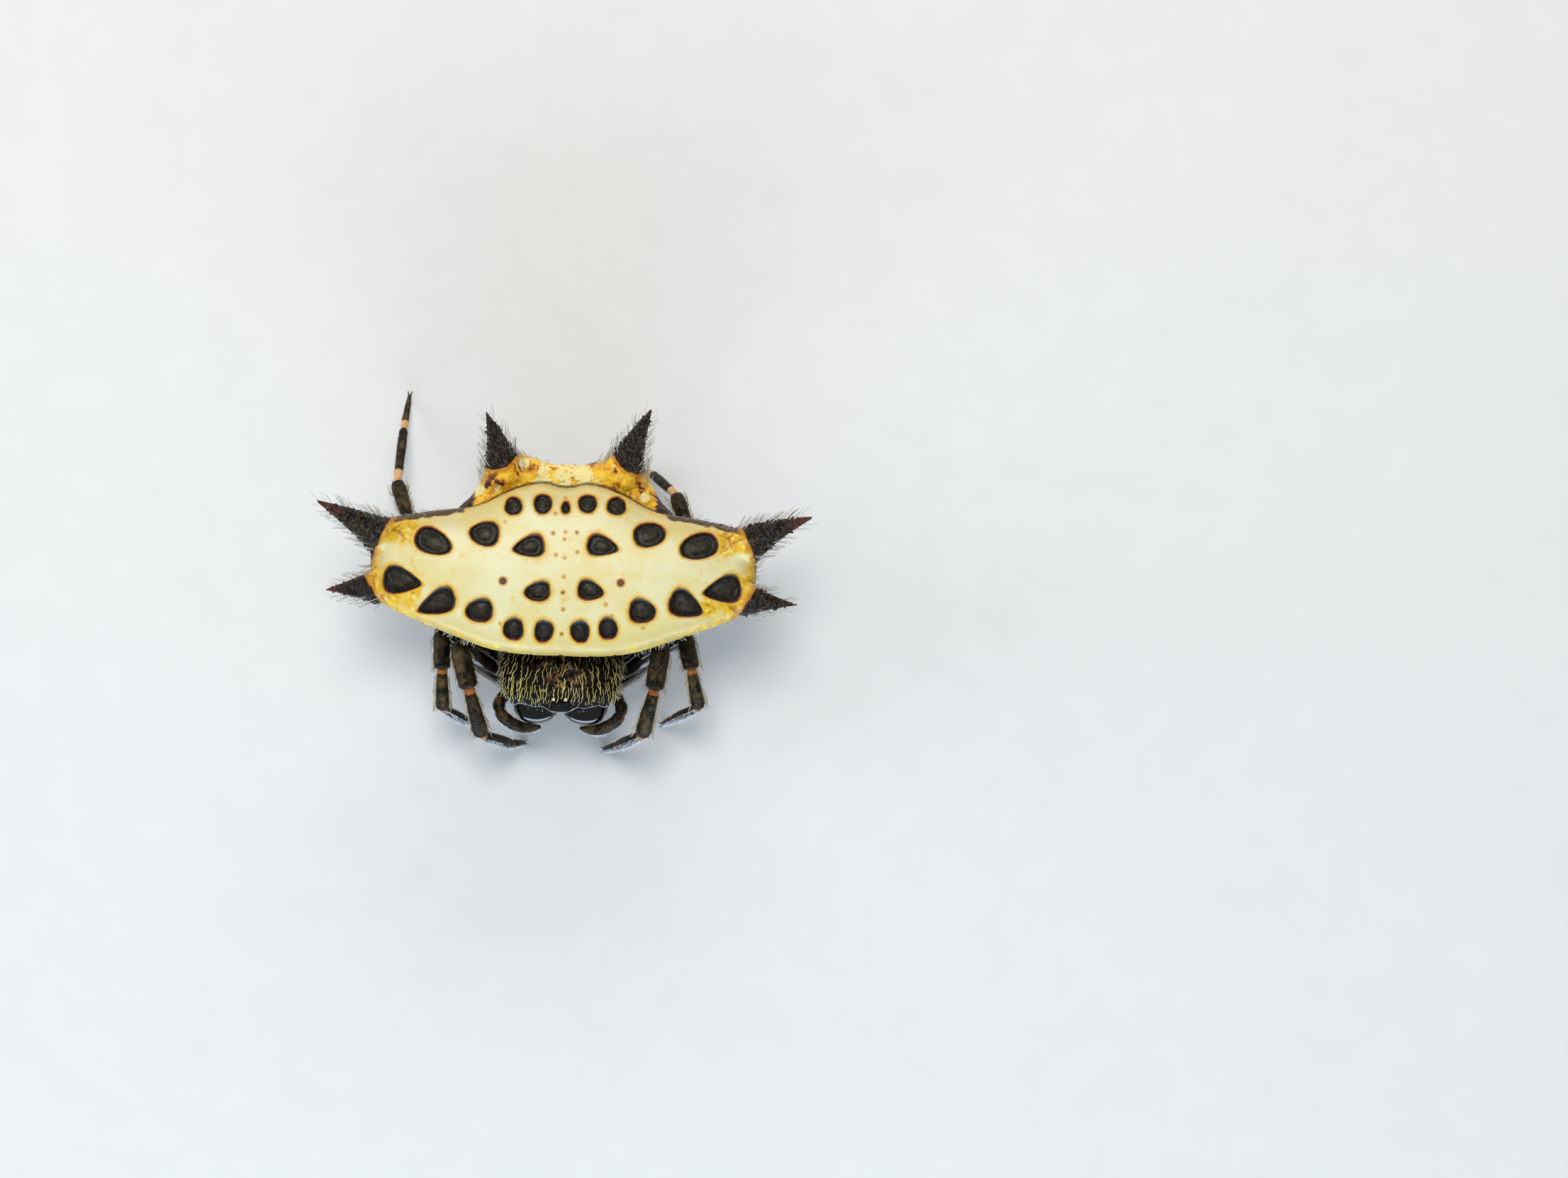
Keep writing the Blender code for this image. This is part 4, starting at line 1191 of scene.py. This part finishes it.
# The joints of each leg from the body to the foot. The third legs are alike, and each of the others has its
# own pose
thirdLeg = [
    (0.82, -1.44, 1.1), (1.42, -1.28, 1.1), (2.35, -0.98, 2.25), (2.75, -0.68, 2.12), (2.97, -0.32, 1.3),
    (2.78, -0.06, 0.55), (2.62, 0.08, 0.0),
]
legJoints = {
    "leg_1_left": [
        (0.60, -2.50, 1.1), (1.19, -2.90, 1.12), (2.62, -1.95, 2.88), (2.48, -3.00, 2.85), (2.20, -4.14, 2.1),
        (1.54, -4.33, 0.8), (1.17, -4.38, 0.0),
    ],
    "leg_1_right": [
        (-0.60, -2.50, 1.1), (-1.19, -2.90, 1.12), (-2.69, -2.05, 2.88), (-2.40, -3.13, 2.85),
        (-2.06, -4.27, 2.1), (-1.32, -4.38, 0.8), (-0.99, -4.28, 0.0),
    ],
    "leg_2_left": [
        (0.82, -2.00, 1.1), (1.45, -2.20, 1.1), (3.24, -1.54, 2.5), (3.44, -2.40, 2.5), (3.65, -3.35, 1.95),
        (3.00, -3.56, 0.8), (2.69, -3.65, 0.0),
    ],
    "leg_2_right": [
        (-0.82, -2.00, 1.1), (-1.45, -2.20, 1.1), (-3.18, -1.62, 2.5), (-3.14, -2.61, 2.5),
        (-3.11, -3.59, 1.95), (-2.52, -3.80, 0.8), (-2.26, -3.84, 0.0),
    ],
    "leg_3_left": thirdLeg, "leg_3_right": [(-x, y, z) for x, y, z in thirdLeg],
    "leg_4_left": [
        (0.60, -0.93, 1.1), (1.05, -0.52, 1.12), (2.90, 0.28, 2.4), (3.45, 0.75, 2.32), (2.86, 2.31, 1.7),
        (2.20, 2.97, 0.65), (1.85, 3.12, 0.0),
    ],
    "leg_4_right": [
        (-0.60, -0.93, 1.1), (-1.05, -0.52, 1.12), (-3.20, 0.42, 2.4), (-4.05, 0.98, 2.28),
        (-4.55, 2.41, 1.5), (-4.48, 3.99, 0.5), (-4.38, 4.96, 0.0),
    ],
}
legSizes = {
    "girth": {"1": 1.0, "2": 0.88, "3": 0.78, "4": 0.96}, "points": 26, "sides": 20, "arch": 0.03,
    "frontEnds": 1.12,  # how much thicker the two last joint pieces of legs 1 and 2 are
    # (share of its length, radius) along each joint piece
    "pieces": {
        "coxa": [
            (-0.05, 0.05), (0.0, 0.16), (0.15, 0.20), (0.6, 0.23), (0.9, 0.22), (1.05, 0.17), (1.12, 0.05),
        ],
        "femur": [
            (-0.03, 0.05), (0.0, 0.14), (0.06, 0.19), (0.3, 0.26), (0.6, 0.28), (0.88, 0.25), (1.0, 0.19),
            (1.05, 0.06),
        ],
        "patella": [
            (-0.17, 0.05), (-0.1, 0.17), (0.05, 0.235), (0.4, 0.25), (0.8, 0.245), (0.97, 0.2), (1.04, 0.06),
        ],
        "tibia": [
            (-0.06, 0.05), (-0.02, 0.12), (0.08, 0.145), (0.3, 0.17), (0.7, 0.20), (0.93, 0.195), (1.0, 0.15),
            (1.03, 0.05),
        ],
        "metatarsus": [
            (-0.04, 0.04), (0.0, 0.09), (0.1, 0.11), (0.4, 0.125), (0.85, 0.12), (0.98, 0.095), (1.02, 0.03),
        ],
        "tarsus": [
            (-0.04, 0.03), (0.0, 0.075), (0.12, 0.095), (0.5, 0.085), (0.88, 0.06), (0.97, 0.045),
            (1.0, 0.02),
        ],
    },
}
# How many pale, dark and white hairs a joint piece has, the white ones on legs 1 and 2 alone and bluish white
# as a painted sheen, and the mean length of the pale and white ones
legHairs = {
    "coxa": (12, 14, 0, 0.12), "femur": (90, 60, 0, 0.18), "patella": (110, 40, 0, 0.20),
    "tibia": (180, 50, 0, 0.21), "metatarsus": (80, 30, 165, 0.11), "tarsus": (60, 30, 150, 0.09),
}


def jointPiece(name, start, end, table, girth):
    # One joint piece: its points, faces and paint, and the shares, angles and normals of its points
    start, end = np.array(start), np.array(end)
    length = np.linalg.norm(end - start)
    places, radii = smoothLine(table, legSizes["points"])
    outward = unit(np.cross(end - start, np.cross((0, 0, 1.0), end - start)) + 1e-6)
    line = start + (end - start) * places[:, None]
    line += outward * (np.sin(np.clip(places, 0, 1) * math.pi) * legSizes["arch"] * length)[:, None]
    points, faces, share, angle, normals = rodPoints(line, np.maximum(radii, 0.01) * girth, legSizes["sides"])
    share = places[0] + share * (places[-1] - places[0])
    paint = {key: np.zeros(len(points)) for key in ("pale", "peach", "olive", "patch", "polish")}
    if name in ("tibia", "metatarsus", "tarsus"):
        paint["pale"] = ease(0.15, 0.05, share)
    elif name == "patella":
        paint["pale"] = 0.6 * ease(0.93, 1.0, share)
        paint["olive"] = ease(0.5, 0.0, share)
    else:
        paint["polish"] += 1.0
    # A lighter top on the upward-facing side, as a painted sheen
    paint["top"] = ease(0.35, 0.95, normals[:, 2]) * ease(0.02, 0.2, share) * ease(1.0, 0.8, share)
    points[:, 2] = np.maximum(points[:, 2], 0.0)
    return points, faces, paint, share, angle, normals


limbRoots = {"pale": [], "dark": [], "white": []}  # the hair roots of every leg and palp


def limbSpots(strip, angle, height):
    # Places on an unwrap of the limbs, each limb on its own strip
    return np.stack([(strip + 0.1 + 0.8 * angle / (2 * math.pi)) / (len(legJoints) + 2), height], 1)


def legRoots(points, normals, along, spots, length, lift, draw):
    lie = np.broadcast_to(along, points.shape) + 0.12 * draw.normal(size=points.shape)
    return hairRoots(points, normals, lie, (lift, lift + 0.25), (length * 0.75, length * 1.25), spots, draw)


def makeLeg(name, joints, draw, strip):
    number = name.split("_")[1]
    girth, front = legSizes["girth"][number], number in "12"
    shapes = []
    for index, (pieceName, table) in enumerate(legSizes["pieces"].items()):
        start, end = joints[index], joints[index + 1]
        thick = legSizes["frontEnds"] if index > 3 and front else 1.0
        points, faces, paint, share, angle, normals = jointPiece(pieceName, start, end, table, girth * thick)
        if number == "4" and pieceName in ("metatarsus", "tarsus"):
            paint["peach"] = ease(0.26, 0.16, share)
        shapes.append((points, faces, paint))
        along = unit(np.array(end) - np.array(start))
        spots = limbSpots(strip, angle, (index + 0.5 + 0.42 * share) / 7)
        paleCount, darkCount, whiteCount, length = legHairs[pieceName]
        # Each kind's number, the points that carry it, its length and its least lift
        kinds = {
            "pale": (paleCount, (normals[:, 2] < 0.35) & (share < 0.93), length, 0.55),
            "dark": (darkCount, (share > 0.02) & (share < 0.95), length * 0.7, 0.25),
            # The white hairs stand on the forward sides, where their bluish white is a painted sheen
            "white": (whiteCount * front, (normals[:, 1] < -0.5) & (share < 0.93), length, 0.8),
        }
        for kind, (count, carries, kindLength, lift) in kinds.items():
            if count:
                chosen = draw.choice(np.flatnonzero(carries & (points[:, 2] > 0.12)), count)
                places = (points[chosen], normals[chosen], along, spots[chosen])
                limbRoots[kind].append(legRoots(*places, kindLength, lift, draw))
    points, faces, paint = joinShapes(shapes)
    meshPiece(name + "_skin", points, faces, legCuticle, (name,), paint)


palpSizes = {
    "line": [
        (0.98, -2.62, 1.70, 0.09), (1.31, -3.00, 1.92, 0.12), (1.50, -3.21, 2.04, 0.150),
        (1.62, -3.46, 2.15, 0.165), (1.55, -3.70, 2.12, 0.16), (1.34, -3.88, 1.93, 0.165),
        (1.04, -3.99, 1.66, 0.155), (0.76, -3.99, 1.44, 0.125), (0.54, -3.94, 1.30, 0.05),
    ],
    "joints": (0.16, 0.36, 0.47, 0.64), "jointDepth": 0.22, "jointWidth": 0.012, "points": 72, "sides": 20,
    "hairs": 320, "firstHair": 15, "lastHair": 70,  # hairs stand from the first ring to the last
}


def makePalp(sideName, side, draw, strip):
    count, sides = palpSizes["points"], palpSizes["sides"]
    line, radii = taperedLine(palpSizes["line"], side, count)
    place = np.linspace(0, 1, count)
    for joint in palpSizes["joints"]:
        dip = np.exp(-((place - joint) / palpSizes["jointWidth"]) ** 2)
        radii = radii * (1 - palpSizes["jointDepth"] * dip)
    points, faces, share, angle, normals = rodPoints(line, radii, sides)
    paint = {name: share * 0 for name in ("pale", "peach", "olive", "polish")}
    paint["patch"] = 0.8 * ease(0.2, 0.35, share) * ease(0.8, 0.6, share)
    # A lighter top on the upward-facing side, as a painted sheen
    paint["top"] = ease(0.1, 0.9, normals[:, 2])
    meshPiece(f"palp_{sideName}_skin", points, faces, legCuticle, (f"palp_{sideName}",), paint)
    chosen = draw.integers(palpSizes["firstHair"] * sides, palpSizes["lastHair"] * sides, palpSizes["hairs"])
    along = unit(np.gradient(line, axis=0))[chosen // sides]
    spots = limbSpots(strip, angle[chosen], 0.02 + 0.95 * share[chosen])
    roots = [points[chosen], normals[chosen], along, spots]
    below = normals[chosen, 2] < 0.3
    limbRoots["white"].append(legRoots(*[values[below] for values in roots], 0.12, 0.6, draw))
    limbRoots["dark"].append(legRoots(*[values[~below] for values in roots], 0.10, 0.3, draw))


print("Setting the legs and palps")
hairDraw = np.random.default_rng(seedOfAll)
for strip, (legName, joints) in enumerate(legJoints.items()):
    makeLeg(legName, joints, hairDraw, strip)
makePalp("left", 1, hairDraw, len(legJoints))
makePalp("right", -1, hairDraw, len(legJoints) + 1)
for kind, hairMaterial in (("pale", buffHair), ("dark", darkHair), ("white", whiteSheenHair)):
    growHair(kind + "LegHair", mergeRoots(limbRoots[kind]), hairMaterial, 0.0055, 0.22)


# Underside: sternum, pedicel and spinnerets

undersideSizes = {
    # height, half width, front and rear of level rings
    "sternum": [
        (0.86, 0.40, -2.44, -1.0), (0.92, 0.54, -2.62, -0.84), (1.10, 0.60, -2.70, -0.74),
        (1.32, 0.50, -2.60, -0.86),
    ],
    "pedicel": {
        "start": (0, -0.62, 2.0), "end": (0, -0.16, 2.04), "radius": 0.22, "folds": 6, "foldDepth": 0.18,
        "points": 12, "sides": 24,
    },
    # across, along and radius of the left cones about the base
    "spinnerets": {"base": (0, 0.72, 0.80), "cones": [(0.12, -0.12, 0.12), (0.11, 0.13, 0.10)]},
    # The boxes that the skins grow in, and their grids
    "sternumBox": ((-0.8, -2.9, 0.75), (0.8, -0.6, 1.45), 0.03),
    "spinneretBox": ((-0.4, 0.32, 0.25), (0.4, 1.12, 0.95), 0.02),
}


def makeSternum():
    shape = ringShape(undersideSizes["sternum"], 2.3)
    points, quads = growSkin(lambda places: asDistance(shape, places), *undersideSizes["sternumBox"])
    meshPiece("sternumPlate", points, quads, undersideCuticle, ("sternum",))


def makePedicel():
    sizes = undersideSizes["pedicel"]
    line = pointsAlong([sizes["start"], sizes["end"]], sizes["points"])
    turns = np.linspace(0, sizes["folds"] * math.pi, sizes["points"])
    radii = sizes["radius"] * (1 - sizes["foldDepth"] * np.cos(turns) ** 2)
    points, faces, *_ = rodPoints(line, radii, sizes["sides"])
    meshPiece("pedicelStalk", points, faces, undersideCuticle, ("pedicel",))


def spinneretField(points):
    x, y, top = undersideSizes["spinnerets"]["base"]
    body = np.linalg.norm((points - np.array((x, y, top - 0.08))) / np.array((1, 1, 0.45)), axis=1) - 0.27
    folded = mirrored(points)
    for across, along, radius in undersideSizes["spinnerets"]["cones"]:
        start = np.array((across, y + along, top - 0.08))
        end = np.array((across * 0.75, y + along * 0.8, top - 0.34))
        share = np.clip((folded - start) @ (end - start) / ((end - start) @ (end - start)), 0, 1)
        away = np.linalg.norm(folded - start - share[:, None] * (end - start), axis=1)
        body = smoothJoin(body, away - radius * (1 - 0.35 * share), 0.04)
    return body


def makeSpinnerets():
    points, quads = growSkin(spinneretField, *undersideSizes["spinneretBox"])
    meshPiece("spinneretGroup", points, quads, undersideCuticle, ("spinnerets",))


print("Shaping the underside")
makeSternum()
makePedicel()
makeSpinnerets()


# Claws: a pair of small hooks where each leg ends

clawSizes = {"length": 0.13, "radius": 0.022, "apart": 0.05, "curl": 0.05, "points": 9, "sides": 8}


def makeClaws():
    shapes = []
    for joints in legJoints.values():
        foot, above = np.array(joints[-1]), np.array(joints[-2])
        ahead = unit((foot - above) * np.array((1, 1, 0)))
        across = np.array((-ahead[1], ahead[0], 0))
        share = np.linspace(0, 1, clawSizes["points"])[:, None]
        for side in (1, -1):
            line = foot + (0, 0, 0.07) + across * side * clawSizes["apart"] * (0.4 + share)
            line = line + ahead * clawSizes["length"] * share
            line[:, 2] += clawSizes["curl"] * np.sin(share[:, 0] * math.pi) - 0.045 * share[:, 0]
            radii = clawSizes["radius"] * (1 - 0.85 * share[:, 0])
            points, faces, *_ = rodPoints(line, radii, clawSizes["sides"])
            shapes.append((points, faces, {}))
    points, faces, _ = joinShapes(shapes)
    meshPiece("legClaws", points, faces, clawCuticle)


makeClaws()


# Coats of the carapace, the jaws and the abdomen

coatSizes = {
    # density is the strands to each square millimetre
    "crown": {
        "density": 430, "length": (0.30, 0.48), "lift": (0.06, 0.16), "thickness": 0.0078,
        "apart": (0.058, 0.155),
    },
    "cheek": {"density": 75, "length": (0.12, 0.27), "lift": (0.5, 0.8), "thickness": 0.007},
    "jaw": {"density": 26, "length": (0.08, 0.18), "lift": (0.1, 0.3), "thickness": 0.008},
    "rim": {"density": 60, "length": (0.10, 0.22), "lift": (0.5, 0.9), "thickness": 0.0055},
    "spine": {"density": 105, "length": (0.20, 0.42), "lift": (0.7, 1.0), "thickness": 0.0062},
    "grain": {"density": 34, "length": (0.050, 0.085), "lift": 1.1, "thickness": 0.026},
}


def carapaceSpots(points):
    return roundSpots(points, (0, -2.1, 2.3), (1.6, 1.4, 0.8))


def makeCrownHair(draw):
    # Gold strands combed forwards, none over the two eyes on the hill
    sizes = coatSizes["crown"]
    x, y, z = carapacePoints.T
    eyeX, eyeY, _, eyeRadius = eyeSizes["rear_median"]
    clear = ease(eyeRadius + 0.02, eyeRadius + 0.04, np.hypot(np.abs(x) - eyeX, (y - eyeY - 0.08) * 0.6))
    behindFront = y - lookUp(carapaceFront, np.abs(x))
    density = sizes["density"] * ease(2.3, 2.55, z) * ease(0.08, 0.14, behindFront) * clear
    points, normals = scatter(carapacePoints, carapaceQuads, density, draw)
    kept = thinOut(points, *sizes["apart"])
    points, normals = points[kept], normals[kept]
    count = len(points)
    sideways = points[:, 0] * 0.08 + 0.13 * draw.normal(size=count)
    lie = np.stack([sideways, -np.ones(count), np.zeros(count)], 1)
    length = drawn(sizes["length"], count, draw) * (0.5 + 0.5 * ease(-3.35, -2.95, points[:, 1]))
    roots = hairRoots(points, normals, lie, sizes["lift"], length, carapaceSpots(points), draw)
    growHair("carapaceHair", roots, goldHair, sizes["thickness"], 0.08, 0.05, 7)


def makeCheekHair(draw):
    # Buff hairs on both sides of the carapace
    sizes = coatSizes["cheek"]
    x, y, z = carapacePoints.T
    density = sizes["density"] * ease(1.35, 1.5, np.abs(x)) * ease(2.0, 2.2, z)
    density = density * ease(-3.3, -3.1, y) * ease(-1.6, -1.9, y)
    points, normals = scatter(carapacePoints, carapaceQuads, density, draw)
    count = len(points)
    lie = np.stack([np.sign(points[:, 0]) * 0.8, -np.ones(count), 0.3 * draw.normal(size=count)], 1)
    roots = hairRoots(points, normals, lie, sizes["lift"], sizes["length"], carapaceSpots(points), draw)
    growHair("cheekHair", roots, buffHair, sizes["thickness"], 0.2, 0.03, 6)


def makeJawHair(draw):
    # A few gold hairs on top of each jaw
    sizes, groups = coatSizes["jaw"], []
    for strip, (points, quads) in enumerate(jaws):
        x, y, z = points.T
        density = sizes["density"] * ease(1.7, 1.8, z) * ease(-3.3, -3.4, y) * ease(-3.74, -3.62, y)
        places, normals = scatter(points, quads, density, draw)
        count = len(places)
        lie = np.stack([0.3 * draw.normal(size=count), -np.ones(count), -0.3 * np.ones(count)], 1)
        spots = roundSpots(places, (np.sign(places[0, 0]) * 0.5, -3.3, 1.5), (0.42, 0.44, 0.6))
        spots[:, 0] = (spots[:, 0] + strip) / 2
        groups.append(hairRoots(places, normals, lie, sizes["lift"], sizes["length"], spots, draw))
    growHair("jawHair", mergeRoots(groups), goldHair, sizes["thickness"], 0.2)


def makeRimHair(draw):
    # Along the rim towards both ends, along the rear edge of the slope and thinly over it
    sizes, paint = coatSizes["rim"], abdomenPaint
    x, y, z = abdomenPoints.T
    where = ease(0.22, 0.02, paint["rim"]) * ease(3.55, 3.75, z) * ease(4.25, 4.1, z)
    where *= 1 - ease(2.3, 1.8, np.abs(x)) * (y < 0) - ease(3.1, 2.9, np.abs(x)) * (y > 0)
    where = np.maximum(where, paint["slope"] * (0.02 + 0.8 * ease(2.82, 2.88, y) * ease(1.3, 1.0, np.abs(x))))
    density = sizes["density"] * where * (paint["spine"] < -0.05)
    points, normals = scatter(abdomenPoints, abdomenQuads, density, draw)
    count = len(points)
    lie = points * (0.3, 1, 0) + 0.2 * draw.normal(size=(count, 3))
    spots = roundSpots(points, (0, 0, 3.7), (5.1, 2.4, 0.8))
    roots = hairRoots(points, normals, lie, sizes["lift"], sizes["length"], spots, draw)
    growHair("rimHair", roots, paleHair, sizes["thickness"], 0.2)


def makeSpineHair(draw):
    # Single hairs on the flanks of the spines, and short thick grains on their dark parts
    hair, grain = coatSizes["spine"], coatSizes["grain"]
    hairGroups, grainGroups = [], []
    for strip, spine in enumerate(spineSizes):
        base, tip = np.array(spine["base"]), np.array(spine["tip"])
        axis = unit(tip - base)
        share, away, girth, _ = spineParts(abdomenPoints, spine)
        level = np.abs(abdomenPoints[:, 2] - base[2] - share * (tip - base)[2]) / girth
        onSpine = away < girth * 1.4
        density = hair["density"] * onSpine * ease(-0.1, 0.1, share) * ease(1.0, 0.9, share)
        density = density * ease(0.75, 0.35, level)
        grainDensity = grain["density"] * (abdomenPaint["spine"] > 0.08) * onSpine * (share < 0.88)
        points, normals = scatter(abdomenPoints, abdomenQuads, density, draw)
        share = spineParts(points, spine)[0]
        offset = points - base
        sideways = offset[:, 1] if abs(axis[0]) > 0.7 else offset[:, 0]
        bearing = np.arctan2(offset[:, 2], sideways) / (2 * math.pi) + 0.5
        spots = np.stack([(strip + 0.05 + 0.9 * bearing) / 6, 0.02 + 0.9 * np.clip(share, 0, 1)], 1)
        roots = hairRoots(points, normals, axis[None], hair["lift"], hair["length"], spots, draw)
        hairGroups.append(roots)
        points, normals = scatter(abdomenPoints, abdomenQuads, grainDensity, draw)
        count = len(points)
        spots = np.stack([(strip + draw.random(count)) / 6, draw.random(count)], 1)
        roots = hairRoots(points, normals, axis[None], grain["lift"], grain["length"], spots, draw)
        grainGroups.append(roots)
    growHair("spineHair", mergeRoots(hairGroups), paleHair, hair["thickness"], 0.15)
    growHair("spineGrains", mergeRoots(grainGroups), spineGrain, grain["thickness"], 0.2, 0, 4, 6)


print("Growing the coats")
makeCrownHair(hairDraw)
makeCheekHair(hairDraw)
makeJawHair(hairDraw)
makeRimHair(hairDraw)
makeSpineHair(hairDraw)


# Floor, light and camera

stageSizes = {
    "floor": 400.0, "world": 0.232,
    "cameraPlace": (5.8075, -22.6227, 215.9955), "elevation": 84.0, "roll": 1.87, "lens": 186.6,
    # place and aim from the origin, size, power and colour of each light
    "lights": {
        "keyLight": ((-12, 50, 172), (0, 0, 3), (84, 84), 0.150, (1.0, 0.975, 0.93)),
        "rearLight": ((10, 125, 55), (0, 0, 3), (120, 50), 0.062, (1.0, 0.98, 0.94)),
        "frontLight": ((0, -118, 30), (0, -3, 2), (200, 54), 0.205, (0.62, 0.79, 1.0)),
        "sideLight": ((-120, 10, 50), (0, 0, 3), (70, 70), 0.04, (0.95, 0.97, 1.0)),
    },
}


def makeFloor():
    half = stageSizes["floor"] / 2
    corners = [(-half, -half, 0), (half, -half, 0), (half, half, 0), (-half, half, 0)]
    mesh = buildMesh("floor", np.array(corners, float), np.array([[0, 1, 2, 3]]))
    mesh.materials.append(floorPaper)
    linkedObject("floor", mesh)


def makeLight(name, place, aim, size, power, colour):
    light = bpy.data.lights.new(name, "AREA")
    light.shape = "ELLIPSE"
    light.size, light.size_y = size[0] * mm, size[1] * mm
    light.energy = power
    light.color = colour
    lamp = linkedObject(name, light)
    lamp.location = Vector(place) * mm
    lamp.rotation_euler = (Vector(aim) - Vector(place)).to_track_quat("-Z", "Y").to_euler()


def makeStage():
    bpy.context.scene.view_settings.view_transform = "Standard"
    makeFloor()
    for name, values in stageSizes["lights"].items():
        makeLight(name, *values)
    world = bpy.data.worlds.new("studio")
    world.use_nodes = True
    background = world.node_tree.nodes["Background"]
    background.inputs["Color"].default_value = (0.94, 0.95, 0.96, 1.0)
    background.inputs["Strength"].default_value = stageSizes["world"]
    bpy.context.scene.world = world


def makeCamera():
    elevation, roll = math.radians(stageSizes["elevation"]), math.radians(stageSizes["roll"])
    forward = np.array((0, math.cos(elevation), -math.sin(elevation)))
    right, up = np.array((1.0, 0, 0)), np.array((0, math.sin(elevation), math.cos(elevation)))
    rolledRight = right * math.cos(roll) + up * math.sin(roll)
    rolledUp = up * math.cos(roll) - right * math.sin(roll)
    camera = bpy.data.cameras.new("photoCamera")
    camera.lens = stageSizes["lens"]
    camera.sensor_width = 36
    camera.clip_start = 0.01
    camera.clip_end = 10
    holder = linkedObject("photoCamera", camera)
    place = toScene(np.array([stageSizes["cameraPlace"]]))[0]
    matrix = np.eye(4)
    matrix[:3, 0], matrix[:3, 1], matrix[:3, 2], matrix[:3, 3] = rolledRight, rolledUp, -forward, place
    holder.matrix_world = Matrix(matrix.tolist())
    bpy.context.scene.camera = holder


print("Setting the stage")
makeStage()
makeCamera()
